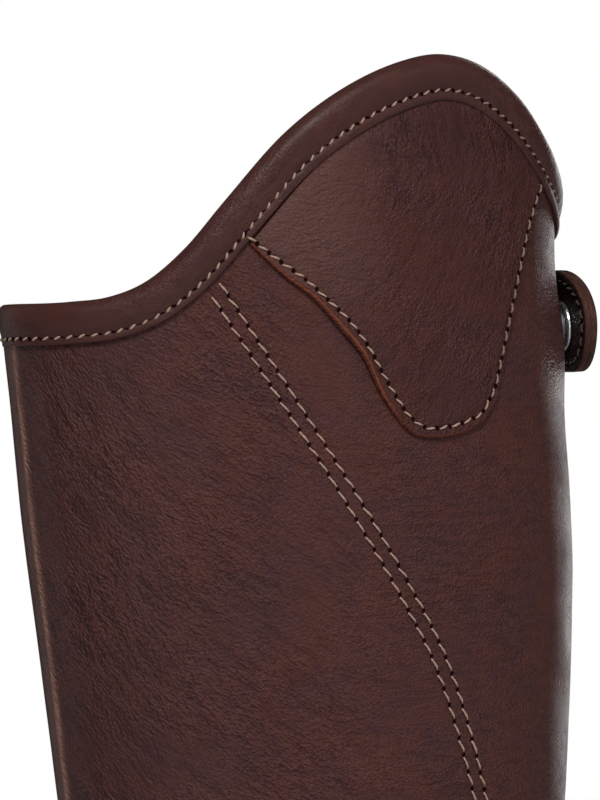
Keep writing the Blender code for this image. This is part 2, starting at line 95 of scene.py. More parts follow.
# The leather's own forms, as rises above its plain face
CREASE_RISE = 0.50
CREASE_HALF = 1.25
CREASE_SIDE_DIP = 0.16
CREASE_SIDE_HALF = 5.0
# Half width of the painted highlight along the shin's crease
CREASE_HIGHLIGHT_HALF = 1.2
HILLS = (
    # spacing, height
    (46.0, 0.34),
    (21.0, 0.16),
    (9.0, 0.055),
)
TAB_BULGE = 1.7
TAB_BULGE_TURN = 158.0
TAB_BULGE_HEIGHT = 54.0
TAB_BULGE_HALF_TURN = 6.5
TAB_BULGE_HALF_HEIGHT = 14.0
SHIN_DIP = 0.5
EDGE_ROUND = 1.0
SEAM_ROW = 1.8
SEAM_RELIEF = (
    # distance from the seam, half_width, rise
    (SEAM_ROW, 0.6, -0.24),
    (SEAM_ROW + 1.9, 1.2, 0.10),
    (0.0, 0.3, -0.07),
)
ZIP_ROW = 2.6
ZIP_RELIEF = (
    # distance from the opening's edge, half_width, rise
    (ZIP_ROW, 0.7, -0.22),
    (1.2, 0.8, 0.18),
)
OVERLAY_ROW_RELIEF = (
    # distance from the row of stitches, half_width, rise
    (0.0, 0.6, -0.20),
    (2.0, 1.2, 0.08),
)
# A fine face has a point of its wall's other face at every so many of its points
SHELL_STEPS = (3, 3)
BINDING_STEPS = (4, 4)
TAPE_STEPS = (1, 3)
FAR_OFF = 99.0

# Profiles of the two bindings: distance from the edge along the leather, and lift
TOP_PROFILE = (
    (11.25, 0.12), (11.45, 0.45), (11.42, 0.85), (11.15, 1.17), (10.60, 1.30), (9.80, 1.30), (9.10, 1.18),
    (8.50, 0.98), (7.90, 1.30), (7.20, 1.66), (6.20, 1.96), (5.00, 2.14), (3.80, 2.16), (2.70, 2.00),
    (1.80, 1.62), (1.05, 1.00), (0.45, 0.20), (0.10, -0.55), (0.00, -1.20), (0.12, -1.80), (0.50, -2.45),
    (1.10, -3.00), (2.00, -3.42), (3.40, -3.66), (5.30, -3.66), (7.00, -3.55), (7.90, -3.42), (8.50, -3.22),
    (9.20, -3.42), (10.30, -3.50), (11.10, -3.36), (11.32, -2.95), (11.25, -2.30),
)
TOP_CAVITY = (
    (11.2, 0.02), (7.5, 0.02), (4.0, 0.02), (1.5, 0.0), (1.35, -1.0), (1.5, -2.0), (4.0, -2.02),
    (7.5, -2.02), (11.2, -2.02),
)
HEM_PROFILE = (
    (8.00, 0.10), (8.15, 0.50), (8.10, 0.95), (7.80, 1.30), (7.20, 1.38), (6.50, 1.26), (5.90, 1.00),
    (5.30, 1.28), (4.50, 1.52), (3.60, 1.62), (2.60, 1.55), (1.70, 1.30), (0.90, 0.80), (0.35, 0.10),
    (0.06, -0.60), (0.00, -1.10), (0.08, -1.60), (0.40, -2.30), (1.00, -2.80), (2.00, -3.15), (3.40, -3.30),
    (5.00, -3.32), (5.90, -3.10), (7.00, -3.30), (8.00, -2.40),
)
HEM_CAVITY = (
    (7.9, 0.02), (5.0, 0.02), (1.5, 0.0), (1.35, -1.0), (1.5, -2.0), (5.0, -2.02), (7.9, -2.02),
)
TOP_ROW = 8.5
BAND_OVER_OVERLAY = 0.12
BAND_CREST_DOWN = 0.30
BAND_CREST_ROW_DOWN = 0.45
BAND_FLANGE_AT_SHIN = 0.60
BAND_SHIN_LIFT = 0.25
BAND_SHIN_DIP = 0.75
BAND_SHIN_TURN = -22.0
BAND_SHIN_HALF = 26.0
HEM_ROW = 5.9

# The overlay behind the knee
OVERLAY_LIFT = 1.30
OVERLAY_SKIVED = 0.75
EDGE_CURL = 0.8
EDGE_CURL_HEIGHT = 53.0
EDGE_CURL_HALF_HEIGHT = 13.0
EDGE_CURL_REACH = 2.2
OVERLAY_CREST_FROM = 52.2
OVERLAY_CREST_TO = 149.0
OVERLAY_TOP_DOWN = 11.1
OVERLAY_FRONT_EDGE = (
    # turn, height
    (67.2, 70.1), (73.8, 64.4), (79.0, 57.6), (83.2, 51.9), (87.8, 40.8), (92.0, 33.8),
)
OVERLAY_LOW_EDGE = ((95.5, 31.1), (99.8, 30.6), (108.8, 32.0), (113.6, 34.2), (118.8, 39.7))
OVERLAY_BACK_EDGE = ((122.4, 49.3), (127.2, 61.6), (131.9, 73.4), (136.6, 84.0))
OVERLAY_BEVELS = (
    # width, least share of it, how much more of it near one height
    (1.45, 0.6, 0.65),
    (0.75, 1.0, 0.0),
    (0.45, 1.0, 0.0),
)
OVERLAY_BEVEL_HEIGHT = 56.0
OVERLAY_BEVEL_HALF = 17.0
OVERLAY_STITCHES = (
    # turn, height
    (58.6, 80.9), (61, 78.8), (66, 74.4), (72, 69.6), (77, 64.4), (81.5, 59.4), (85.2, 53.5), (88, 47.3),
    (91.2, 40.7), (94.4, 35.6), (97.5, 33.3), (103.2, 33.3), (109.8, 35.0), (113.5, 36.7), (116, 39.6),
    (118, 42.5), (121, 49.6), (126, 62.1), (130.8, 74.0), (135.5, 84.6), (138.8, 89.9), (142.5, 94.3),
)

# The zip
ZIP_PAST_BACK_TOP = 18.0
ZIP_PAST_BACK_HEM = 10.0
ZIP_OPENING_HALF = 5.5
TAPE_ACROSS_FROM = 1.0
TAPE_ACROSS_TO = 17.0
TAPE_THICKNESS = 0.9
TAPE_TOP = 75.5
TAPE_FOOT = -277.5
CHAIN_FOOT = -275.0
TOOTH_PITCH = 2.5
TOOTH_OUTLINE = (
    # across, up
    (3.0, -0.56), (3.0, 0.56), (1.5, 0.56), (0.7, 0.40), (-0.8, 0.40), (-0.8, -0.40), (0.7, -0.40),
    (1.5, -0.56),
)
TOOTH_LOW = -2.15
TOOTH_HIGH = -0.25
SLIDER_HEIGHT = 38.0
SLIDER_OUTLINE = (
    (-2.6, -5.5), (2.6, -5.5), (3.3, -5.0), (3.6, -3.8), (4.3, 0.0), (4.5, 3.6), (4.2, 4.9), (3.2, 5.5),
    (-3.2, 5.5), (-4.2, 4.9), (-4.5, 3.6), (-4.3, 0.0), (-3.6, -3.8), (-3.3, -5.0),
)
# Half of the slider's bridge: along the zip, lift
BRIDGE_OUTSIDE = ((4.4, 1.1), (4.4, 2.6), (4.1, 3.5), (3.4, 4.1), (2.0, 4.38), (0.0, 4.4))
BRIDGE_INSIDE = ((3.2, 1.1), (3.2, 2.5), (3.05, 2.95), (2.6, 3.22), (1.6, 3.3), (0.0, 3.3))
PULL_BAR_LIFT = 2.25
PULL_BAR_UP = -2.0
PULL_HALF_WIDTH = 3.4
PULL_WAIST = 2.6
PULL_FOOT = -21.0

# The snap tab
SNAP_TURN = 171.8
SNAP_HEIGHT = 59.6
SNAP_DOWN = 1.2
TAB_HALF_WIDTH = 12.9
TAB_LIFT_AT_SNAP = 4.3
TAB_TIP = -15.8
TAB_ROOT = 47.0
TAB_TIP_ROUND_UPPER = 24.0
TAB_TIP_ROUND_LOWER = 13.0
TAB_ROOT_ROUND = 7.0
TAB_STRAIGHT_TO = 4.0
TAB_DOWN_BY = 26.0
TAB_ROW = 2.3

# Sewing: spacing, stitch length, thread's radius, slant in degrees
TOP_SEWING = (3.25, 2.10, 0.25, 24)
SEAM_SEWING = (4.42, 3.62, 0.26, 10)
OVERLAY_SEWING = (3.75, 2.75, 0.26, 14)
PLAIN_SEWING = (3.6, 2.6, 0.25, 14)
HOLE_ALONG = 0.56
HOLE_ACROSS = 0.60
HOLE_SIDES = 10
STITCH_SECTIONS = 13
STITCH_SIDES = 8

# Colours, linear
RED_BROWN = (0.056, 0.0182, 0.0142)
PLUM_BROWN = (0.042, 0.0160, 0.0172)
OVERLAY_RED = (0.045, 0.0138, 0.0108)
OVERLAY_PLUM = (0.038, 0.0134, 0.0142)
BAND_RED = (0.047, 0.0166, 0.0132)
BAND_PLUM = (0.038, 0.0150, 0.0138)
EDGE_BROWN = (0.105, 0.025, 0.015)
# Painted highlight colour, on the shin's crease, the strip just left of it and the overlay's upper left
HIGHLIGHT_BROWN = (0.190, 0.098, 0.078)
# Painted shade: the tab's inside, which faces the leg, coloured almost black
SHADED_INSIDE_BROWN = (0.016, 0.0070, 0.0050)
SHADED_INSIDE_BLACK = (0.008, 0.0045, 0.0038)
# Painted highlight along the middle of the overlay's raw edge
EDGE_HIGHLIGHT_ORANGE = (0.225, 0.072, 0.038)
FLESH_BROWN = (0.118, 0.058, 0.038)
THREAD = (0.37, 0.235, 0.175)
# Painted shade on thread whose row lies in shade
SHADED_THREAD = (0.030, 0.016, 0.011)
# Painted shade: needle holes are shallow dishes coloured almost black
HOLE_SHADE_RED = (0.012, 0.0032, 0.0028)
HOLE_SHADE_BLACK = (0.006, 0.002, 0.0018)


# The leg's surface


def smooth(table, column, x):
    """A table's column at x, on a smooth curve through its rows."""
    rows = np.array(table, float)
    xs = rows[:, 0]
    ys = rows[:, column]
    slopes = np.gradient(ys, xs)
    x = np.asarray(x, float)
    i = np.clip(np.searchsorted(xs, x) - 1, 0, len(xs) - 2)
    step = xs[i + 1] - xs[i]
    t = (x - xs[i]) / step
    value = (1 + 2 * t) * (1 - t) ** 2 * ys[i] + t * t * (3 - 2 * t) * ys[i + 1]
    return value + step * (t * (1 - t) ** 2 * slopes[i] + t * t * (t - 1) * slopes[i + 1])


def hump(x, at, half):
    """1 at one place and falling to 0 on both sides of it."""
    return np.exp(-(((x - at) / half) ** 2))


def humps(x, table):
    return sum(rise * hump(x, at, half) for at, half, rise in table)


def run_along(points):
    """The length of a line of points up to each of them."""
    return np.concatenate([[0], np.cumsum(np.linalg.norm(np.diff(points, axis=0), axis=1))])


def unit(vectors):
    return vectors / np.linalg.norm(vectors, axis=-1, keepdims=True)


def section_point(angle, height):
    front = smooth(SECTIONS, 1, height)
    back = smooth(SECTIONS, 2, height)
    half_width = smooth(SECTIONS, 3, height)
    x = (front + back) / 2 - (back - front) / 2 * np.cos(angle)
    y = -half_width * np.sin(angle) * (1 - EGG * np.cos(angle))
    return np.stack([x, y, np.broadcast_to(height, x.shape)], -1)


ANGLES = np.linspace(-math.pi, math.pi, 721)
TURNS = np.linspace(-180, 180, 721)
LEVELS = np.linspace(-300, 132, 217)


def angle_table():
    """The girth at each level, and the section's angle at each turn there."""
    girths = []
    rows = []
    for level in LEVELS:
        along = run_along(section_point(ANGLES, level))
        along -= along[len(along) // 2]
        girths.append(2 * along[-1])
        rows.append(np.interp(TURNS, along / along[-1] * 180, ANGLES))
    return np.array(girths), np.array(rows)


GIRTHS, ANGLE_ROWS = angle_table()


def girth(height):
    return np.interp(height, LEVELS, GIRTHS)


def angle_of(turn, height):
    turn = (np.asarray(turn, float) + 180) % 360 - 180
    i = (np.clip(height, LEVELS[0], LEVELS[-1] - 1e-6) - LEVELS[0]) / (LEVELS[1] - LEVELS[0])
    j = (turn - TURNS[0]) / (TURNS[1] - TURNS[0])
    low_i = np.floor(i).astype(int)
    low_j = np.minimum(np.floor(j).astype(int), len(TURNS) - 2)
    u = i - low_i
    v = j - low_j
    below = ANGLE_ROWS[low_i, low_j] * (1 - v) + ANGLE_ROWS[low_i, low_j + 1] * v
    above = ANGLE_ROWS[low_i + 1, low_j] * (1 - v) + ANGLE_ROWS[low_i + 1, low_j + 1] * v
    return below * (1 - u) + above * u


def skin_axes(turn, height):
    """A place on the leather's face, and the unit steps round the leg, up it and outward there."""
    turn, height = np.broadcast_arrays(np.asarray(turn, float), np.asarray(height, float))
    angle = angle_of(turn, height)
    point = section_point(angle, height)
    round_leg = section_point(angle + 1e-3, height) - section_point(angle - 1e-3, height)
    upward = section_point(angle, height + 0.5) - section_point(angle, height - 0.5)
    outward = unit(np.cross(round_leg, upward))
    round_leg = unit(round_leg)
    return point, round_leg, np.cross(outward, round_leg), outward


def skin(turn, height, lift):
    point, _, _, outward = skin_axes(turn, height)
    return point + np.asarray(lift, float)[..., None] * outward


def top_line(turn):
    return smooth(TOP_LINE, 1, turn)


def hem_line(turn):
    across = np.cos(np.radians(turn))
    rise = np.where(across > 0, HEM_RISE_FRONT, HEM_RISE_BACK)
    return HEM_LOWEST + rise * across**2


def seam_turn(height):
    return smooth(SEAM_LINE, 1, height)


def zip_turn(height, across=0.0):
    share = (np.asarray(height, float) - HEM_LOWEST) / (TAPE_TOP - HEM_LOWEST)
    past = ZIP_PAST_BACK_HEM + (ZIP_PAST_BACK_TOP - ZIP_PAST_BACK_HEM) * share
    return 180 + 360 * (past + across) / girth(height)


def inset(line, turn, distance, towards):
    """Places at this distance from a line of heights, square to it: below it for -1, above it for 1."""
    height = line(turn)
    mm_per_degree = girth(height) / 360
    slope = (line(turn + 0.5) - line(turn - 0.5)) / mm_per_degree
    length = np.hypot(1, slope)
    return turn - towards * distance * slope / length / mm_per_degree, height + towards * distance / length


def inset_line(line, distance, towards):
    turns = np.linspace(-175, 205, 761)
    moved, heights = inset(line, turns, distance, towards)
    return lambda turn: np.interp(turn, moved, heights)


def patch(low, high, left, right, u, v):
    """Fills in a grid between four edges, each an array of (turn, height), at shares u and v of them."""
    u = u[:, None, None]
    v = v[None, :, None]
    sides = (1 - v) * low[:, None] + v * high[:, None] + (1 - u) * left[None] + u * right[None]
    corners = (1 - u) * ((1 - v) * low[0] + v * high[0]) + u * ((1 - v) * low[-1] + v * high[-1])
    return sides - corners


def through(points, shares):
    """Places on one smooth curve through the given ones, at these shares of its length."""
    points = np.array(points, float)
    along = run_along(np.column_stack([points[:, 0] * girth(50) / 360, points[:, 1]]))
    table = np.column_stack([along, points])
    spots = np.asarray(shares) * along[-1]
    return np.column_stack([smooth(table, 1, spots), smooth(table, 2, spots)])


def graded(count, dense=()):
    """count + 1 shares from 0 to 1, closer together near each dense place (share, spread, times)."""
    fine = np.linspace(0, 1, 4001)
    density = np.ones_like(fine)
    for share, spread, times in dense:
        density += times * np.exp(-(((fine - share) / spread) ** 2))
    total = np.concatenate([[0], np.cumsum((density[1:] + density[:-1]) / 2)])
    return np.interp(np.linspace(0, total[-1], count + 1), total, fine)


def ease(value, low, high):
    """0 up to low and 1 from high on, with a smooth step between them."""
    t = np.clip((value - low) / (high - low), 0, 1)
    return t * t * (3 - 2 * t)


def ripples(x, y, size, seed):
    """Smooth random hills this far apart, from -1 to 1, the same on each run."""
    table = np.random.default_rng(seed).uniform(-1, 1, (64, 64))
    u = np.asarray(x, float) / size % 64
    v = np.asarray(y, float) / size % 64
    i = np.floor(u).astype(int)
    j = np.floor(v).astype(int)
    f = ease(u - i, 0, 1)
    g = ease(v - j, 0, 1)
    low = table[i % 64, j % 64] * (1 - f) + table[(i + 1) % 64, j % 64] * f
    high = table[i % 64, (j + 1) % 64] * (1 - f) + table[(i + 1) % 64, (j + 1) % 64] * f
    return low * (1 - g) + high * g


TOP_OF_PANELS = inset_line(top_line, PANEL_TOP_DOWN, -1)
HEM_OF_PANELS = inset_line(hem_line, PANEL_HEM_UP, 1)


def arc_of(turn, height):
    return turn * girth(height) / 360


def at_shin(turns):
    return hump(turns, BAND_SHIN_TURN, BAND_SHIN_HALF)


def hills(turn, height):
    """The soft unevenness of well-used leather, and the crease pressed down the front."""
    arc = arc_of(turn, height)
    edge = np.minimum(top_line(turn) - height, height - hem_line(turn))
    rise = sum(ripples(arc, height * 0.8, size, k + 3) * high for k, (size, high) in enumerate(HILLS))
    side = np.abs(arc) / CREASE_SIDE_HALF
    crease = CREASE_RISE * hump(arc, 0, CREASE_HALF) - CREASE_SIDE_DIP * side * np.exp(1 - side)
    bulge = TAB_BULGE * hump(turn, TAB_BULGE_TURN, TAB_BULGE_HALF_TURN)
    bulge = bulge * hump(height, TAB_BULGE_HEIGHT, TAB_BULGE_HALF_HEIGHT)
    shin = SHIN_DIP * at_shin(turn) * ease(height, 10, 52)
    return (rise + crease) * ease(edge, 9, 24) + bulge - shin


def from_seam(turn, height):
    """Distance from the slanting seam, square to it."""
    slope = (seam_turn(height + 1) - seam_turn(height - 1)) / 2 * girth(height) / 360
    return (turn - seam_turn(height)) * girth(height) / 360 / np.hypot(1, slope)


def from_zip(turn, height):
    """Distance from the edge of the zip's opening, on either side of it."""
    past = (np.asarray(turn, float) - zip_turn(height) + 180) % 360 - 180
    return np.abs(past) * girth(height) / 360 - ZIP_OPENING_HALF


def relief(turn, height):
    """How far the leather's outer face rises, sewing and turned edges included."""
    opening = from_zip(turn, height)
    rise = hills(turn, height) + humps(np.abs(from_seam(turn, height)), SEAM_RELIEF)
    rise = rise + humps(opening, ZIP_RELIEF)
    rounding = np.clip(1 - opening / EDGE_ROUND, 0, 0.999)
    return rise - EDGE_ROUND * (1 - np.sqrt(1 - rounding**2))


# The hide's grain


def hide_place(turn, height):
    """Where a place lies on the flat hide, with the shin's line at 0."""
    arc = arc_of(turn, height)
    return np.stack([arc, np.broadcast_to(height, arc.shape), np.zeros_like(arc)], -1)


def grain_values(turn, height):
    """Where the grain's streaks fall steeply and where they lie level, how deep the grain is, and where a
    painted
    highlight lightens the leather: on the crease and just left of it. The steep share also darkens the colour
    as painted shade."""
    signed = arc_of(turn, height)
    arc = np.abs(signed)
    # Steep grain near the shin's front; the colour is also darkened here as painted shade
    steep_grain_and_shade = 1 - ease(arc, 12, 62)
    level = ease(arc, 62, 104)
    uneven = 0.25 * ripples(arc, height, 17.0, 51) * (1 - ease(arc, 60, 120))
    depth = 1 - 0.25 * ease(arc, 48, 100) + 0.10 * ease(arc, 112, 150) + uneven
    # Painted highlight along the crease, and painted light on the strip just left of it
    painted_highlight = hump(arc, 0, CREASE_HIGHLIGHT_HALF) * (1.15 + 0.45 * ripples(arc * 0.2, height, 6.0, 52))
    painted_highlight = painted_highlight + 0.42 * ease(signed, -9.0, -4.5) * (1 - ease(signed, -1.2, 0.6))
    return {"steep_grain_and_shade": steep_grain_and_shade, "level": level, "depth": depth, "painted_highlight": painted_highlight}


# Meshes


def finish_mesh(name, points, faces, materials, kinds, grain, values, smooth_below):
    mesh = bpy.data.meshes.new(name)
    mesh.from_pydata((np.asarray(points, float) * METRES_PER_MM).tolist(), [], faces)
    shaped = bmesh.new()
    shaped.from_mesh(mesh)
    bmesh.ops.recalc_face_normals(shaped, faces=shaped.faces)
    shaped.to_mesh(mesh)
    shaped.free()
    for made in materials:
        mesh.materials.append(made)
    if kinds is not None:
        mesh.polygons.foreach_set("material_index", np.asarray(kinds, np.int32))
    if grain is not None:
        stored = mesh.attributes.new("grain", "FLOAT_VECTOR", "POINT")
        stored.data.foreach_set("vector", (np.asarray(grain) * METRES_PER_MM).astype(np.float32).ravel())
    for key, value in (values or {}).items():
        stored = mesh.attributes.new(key, "FLOAT", "POINT")
        stored.data.foreach_set("value", np.asarray(value, np.float32).ravel())
    mesh.shade_smooth()
    mesh.set_sharp_from_angle(angle=math.radians(smooth_below))
    made = bpy.data.objects.new(name, mesh)
    bpy.context.scene.collection.objects.link(made)
    return made


def add_piece(
    name, points, faces, materials, replaces=(), body="gaiter",
    kinds=None, grain=None, values=None, smooth_below=40,
):
    made = finish_mesh(name, points, faces, materials, kinds, grain, values, smooth_below)
    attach(made, body)
    if replaces:
        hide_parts(*replaces)
    return made


def border(columns, rows):
    """The indexes of a grid's border, in order round it."""
    rim = [i * rows for i in range(columns)]
    rim += [(columns - 1) * rows + j for j in range(1, rows)]
    rim += [i * rows + rows - 1 for i in range(columns - 2, -1, -1)]
    return rim + list(range(rows - 2, -1, -1))


def shell(outer, inner, steps):
    """A closed wall between a fine grid and one with a point at every so many of its points.
    Returns its points, its faces and each face's kind: 0 outside, 1 inside and 2 round the edge."""
    columns, rows = outer.shape[:2]
    faces = []
    for grid, start, turned in ((outer, 0, False), (inner, columns * rows, True)):
        high = grid.shape[1]
        i, j = np.meshgrid(np.arange(grid.shape[0] - 1), np.arange(high - 1), indexing="ij")
        a = (start + i * high + j).ravel()
        quads = np.column_stack([a, a + high, a + high + 1, a + 1])
        faces.append((quads[:, ::-1] if turned else quads).tolist())
    kinds = [0] * len(faces[0]) + [1] * len(faces[1])
    faces = faces[0] + faces[1]
    fine = border(columns, rows)
    coarse = border(*inner.shape[:2])
    lengths = [inner.shape[0] - 1, inner.shape[1] - 1] * 2
    at = 0
    k = 0
    for side, count in enumerate(lengths):
        step = steps[side % 2]
        for _ in range(count):
            run = fine[at : at + step + 1]
            faces.append((*run[::-1], coarse[k] + columns * rows, coarse[k + 1] + columns * rows))
            kinds.append(2)
            at += step
            k += 1
    points = np.concatenate([outer.reshape(-1, 3), inner.reshape(-1, 3)])
    return points, faces, kinds


def both(fine, steps):
    """A grid's values followed by those at every so many of its points."""
    coarse = fine[:: steps[0], :: steps[1]]
    width = fine.shape[2:] or ()
    return np.concatenate([fine.reshape(-1, *width), coarse.reshape(-1, *width)])


def evenly(points, spacing, margin):
    """Indexes as real numbers of places at even distances along a line of points."""
    along = run_along(points)
    count = int((along[-1] - 2 * margin) // spacing)
    start = (along[-1] - count * spacing) / 2
    return np.interp(start + spacing * np.arange(count + 1), along, np.arange(len(points)))


def at_indexes(values, indexes):
    spots = np.arange(len(values))
    return np.column_stack([np.interp(indexes, spots, values[:, k]) for k in range(values.shape[1])])


def ring_faces(first, second, count):
    """The four-sided faces between two rings of points that start at these numbers."""
    return [(first + k, first + (k + 1) % count, second + (k + 1) % count, second + k) for k in range(count)]


def stitches(name, rows, sewing, hole_lift=0.05):
    """Short bent twisted threads and the needle holes between them, coloured almost black as painted shade.
    Each row is a line of points, the leather's outward direction at each, and how much painted shade darkens
    the thread there."""
    spacing, length, radius, slant = sewing
    sections, sides = STITCH_SECTIONS, STITCH_SIDES
    s = np.linspace(-1, 1, sections)
    turns = np.linspace(0, 2 * math.pi, sides, endpoint=False)
    thick = radius * (1 - 0.30 * s**4)
    ply = 1 + 0.17 * np.cos(2 * (turns[None] - 2.2 * length / 2.5 * s[:, None]))
    bow = radius * (1.25 - 2.3 * np.abs(s) ** 3.2)
    template = np.stack(
        [
            np.repeat((s * length / 2)[:, None], sides, 1),
            thick[:, None] * ply * np.cos(turns)[None],
            bow[:, None] + thick[:, None] * ply * np.sin(turns)[None] * 0.9,
        ],
        -1,
    ).reshape(-1, 3)
    tube = []
    for i in range(sections - 1):
        tube += ring_faces(i * sides, (i + 1) * sides, sides)
    tube.append(tuple(range(sides))[::-1])
    tube.append(tuple(range((sections - 1) * sides, sections * sides)))
    dish = [(0, 0, hole_lift)]
    for t in np.linspace(0, 2 * math.pi, HOLE_SIDES, endpoint=False):
        sag = hole_lift + 0.12 * math.sin(t) ** 2
        dish.append((HOLE_ALONG * math.cos(t), HOLE_ACROSS * math.sin(t), sag))
    dish = np.array(dish)
    dish_faces = [(0, 1 + k, 1 + (k + 1) % HOLE_SIDES) for k in range(HOLE_SIDES)]
    points = []
    faces = []
    kinds = []
    total = 0
    tilt = math.radians(slant)
    noise = np.random.default_rng(len(name))
    # How much painted shade darkens each point's thread
    wear_and_painted_light = []
    for line, out, thread_shade in rows:
        thread_shade = np.broadcast_to(thread_shade, len(line)).reshape(-1, 1)
        spots = evenly(line, spacing, spacing * 0.6)
        between = (spots[1:] + spots[:-1]) / 2
        holes = np.clip(np.concatenate([[spots[0] * 2 - between[0]], between]), 0, len(line) - 1)
        for kind, shape, shape_faces, indexes in ((0, template, tube, spots), (1, dish, dish_faces, holes)):
            centre = at_indexes(line, indexes)
            along = at_indexes(unit(np.gradient(line, axis=0)), indexes)
            up = unit(at_indexes(out, indexes))
            along = unit(along - (along * up).sum(1, keepdims=True) * up)
            aside = np.cross(up, along)
            lean = tilt + noise.normal(0, 0.05, len(indexes))[:, None]
            first = along * np.cos(lean) + aside * np.sin(lean)
            second = aside * np.cos(lean) - along * np.sin(lean)
            size = 1 + noise.normal(0, 0.035, len(indexes))[:, None, None]
            local = shape[None] * size
            made = centre[:, None] + local[..., :1] * first[:, None] + local[..., 1:2] * second[:, None]
            made = made + local[..., 2:] * up[:, None]
            points.append(made.reshape(-1, 3))
            wear_and_painted_light.append(np.repeat(at_indexes(thread_shade, indexes)[:, 0], len(shape)))
            for n in range(len(indexes)):
                start = total + n * len(shape)
                faces += [tuple(start + v for v in face) for face in shape_faces]
                kinds += [kind] * len(shape_faces)
            total += len(indexes) * len(shape)
    values = {"thread_shade": np.concatenate(wear_and_painted_light)}
    add_piece(name, np.concatenate(points), faces, [TWINE, HOLE_SHADE], kinds=kinds, values=values, smooth_below=70)


def row_on_leather(turn, height, lift, thread_shade=0.0, side=1):
    """A row of stitches on the leather's outer face, or on its inner one for side -1."""
    return skin(turn, height, lift), skin_axes(turn, height)[3] * side, thread_shade


# Finishes


def node(tree, kind, inputs=None, **settings):
    made = tree.nodes.new("ShaderNode" + kind)
    for key, value in settings.items():
        setattr(made, key, value)
    for key, value in (inputs or {}).items():
        socket = made.inputs[key]
        if isinstance(value, bpy.types.NodeSocket):
            tree.links.new(value, socket)
        elif hasattr(value, "__len__") and len(value) == 3 and socket.type == "RGBA":
            socket.default_value = (*value, 1)
        else:
            socket.default_value = value
    return made


def new_finish(name, colour, roughness, metallic=0.0):
    made = bpy.data.materials.new(name)
    made.use_nodes = True
    tree = made.node_tree
    shader = tree.nodes["Principled BSDF"]
    shader.inputs["Base Color"].default_value = (*colour, 1)
    shader.inputs["Roughness"].default_value = roughness
    shader.inputs["Metallic"].default_value = metallic
    made.diffuse_color = (*colour, 1)
    return made, tree, shader


def number(tree, operation, a, b=0.0, clamp=False):
    return node(tree, "Math", {0: a, 1: b}, operation=operation, use_clamp=clamp).outputs[0]


def times(tree, a, b, clamp=False):
    return number(tree, "MULTIPLY", a, b, clamp)


def plus(tree, a, b, clamp=False):
    return number(tree, "ADD", a, b, clamp)


def attribute(tree, name, output="Fac"):
    return node(tree, "Attribute", attribute_name=name).outputs[output]


def tinted(colour, *shares):
    """A colour times one share, or times one for each of red, green and blue."""
    return tuple(c * share for c, share in zip(colour, shares * 3 if len(shares) == 1 else shares))


def ranged(tree, value, low, high, to_low=0.0, to_high=1.0):
    made = node(
        tree, "MapRange",
        {"Value": value, "From Min": low, "From Max": high, "To Min": to_low, "To Max": to_high},
        interpolation_type="SMOOTHSTEP",
    )
    return made.outputs["Result"]


def mixed(tree, share, first, second):
    made = node(tree, "Mix", data_type="RGBA", blend_type="MIX")
    for index, value in ((0, share), (6, first), (7, second)):
        socket = made.inputs[index]
        if isinstance(value, bpy.types.NodeSocket):
            tree.links.new(value, socket)
        elif index:
            socket.default_value = (*value, 1)
        else:
            socket.default_value = value
    return made.outputs[2]


def noise(tree, vector, scale, detail=2.0, roughness=0.5, distortion=0.0):
    return node(
        tree, "TexNoise",
        {
            "Vector": vector, "Scale": scale, "Detail": detail,
            "Roughness": roughness, "Distortion": distortion,
        },
    ).outputs[0]


def stretched_place(tree, vector, scale):
    return node(tree, "Mapping", {"Vector": vector, "Scale": scale}, vector_type="POINT").outputs[0]


def wired(tree, shader, colour, height, relief_mm, rough=None, **weights):
    """Joins a finish's colour, relief and gloss to its shader, and sets the shader's other weights."""
    tree.links.new(colour, shader.inputs["Base Color"])
    if rough is not None:
        tree.links.new(rough, shader.inputs["Roughness"])
    made = node(tree, "Bump", {"Height": height, "Distance": relief_mm * METRES_PER_MM, "Strength": 1.0})
    tree.links.new(made.outputs[0], shader.inputs["Normal"])
    for name, value in weights.items():
        shader.inputs[SHADER_WEIGHTS[name]].default_value = value


# The grain's ridges and pebbles to the metre, in leather with pebbles of size 1
BROAD_RIDGES = 240.0
FINE_RIDGES = 560.0
PEBBLES = 1450.0
SHADER_WEIGHTS = {"specular": "Specular IOR Level", "sheen": "Sheen Weight"}
LEATHER_SPECULAR = 0.12


def crests(tree, place, scale, width, stretch):
    """Thin soft ridges that wander along the streaks, from 0 between them to 1 on them."""
    wander = noise(tree, stretched_place(tree, place, (stretch, 1.0, 1.0)), scale, 1.0, 0.5, 0.4)
    off = number(tree, "ABSOLUTE", number(tree, "SUBTRACT", wander, 0.5))
    return ranged(tree, off, 0.0, width, 1.0, 0.0)


def grain_layer(tree, place, degrees, pebble, long):
    """Wrinkled grain drawn out along streaks at this angle, from about 0 to 1.5: soft ridges a few
    millimetres long, finer ones between them and small pebbles on both."""
    turned = node(
        tree, "Mapping", {"Vector": place, "Rotation": (0.0, 0.0, math.radians(-degrees))},
        vector_type="POINT",
    ).outputs[0]
    broad = crests(tree, turned, BROAD_RIDGES / pebble, 0.20, long * 0.50)
    middle = crests(tree, turned, FINE_RIDGES / pebble, 0.18, long * 0.80)
    drawn_out = stretched_place(tree, turned, (long * 1.3, 1.0, 1.0))
    cells = node(
        tree, "TexVoronoi", {"Vector": drawn_out, "Scale": PEBBLES / pebble, "Smoothness": 1.0},
        feature="SMOOTH_F1", voronoi_dimensions="2D",
    ).outputs["Distance"]
    pebbles = ranged(tree, cells, 0.1, 0.75, 1.0, 0.0)
    ridges = plus(tree, times(tree, broad, 0.62), times(tree, middle, 0.36))
    return plus(tree, ridges, times(tree, pebbles, 0.72))


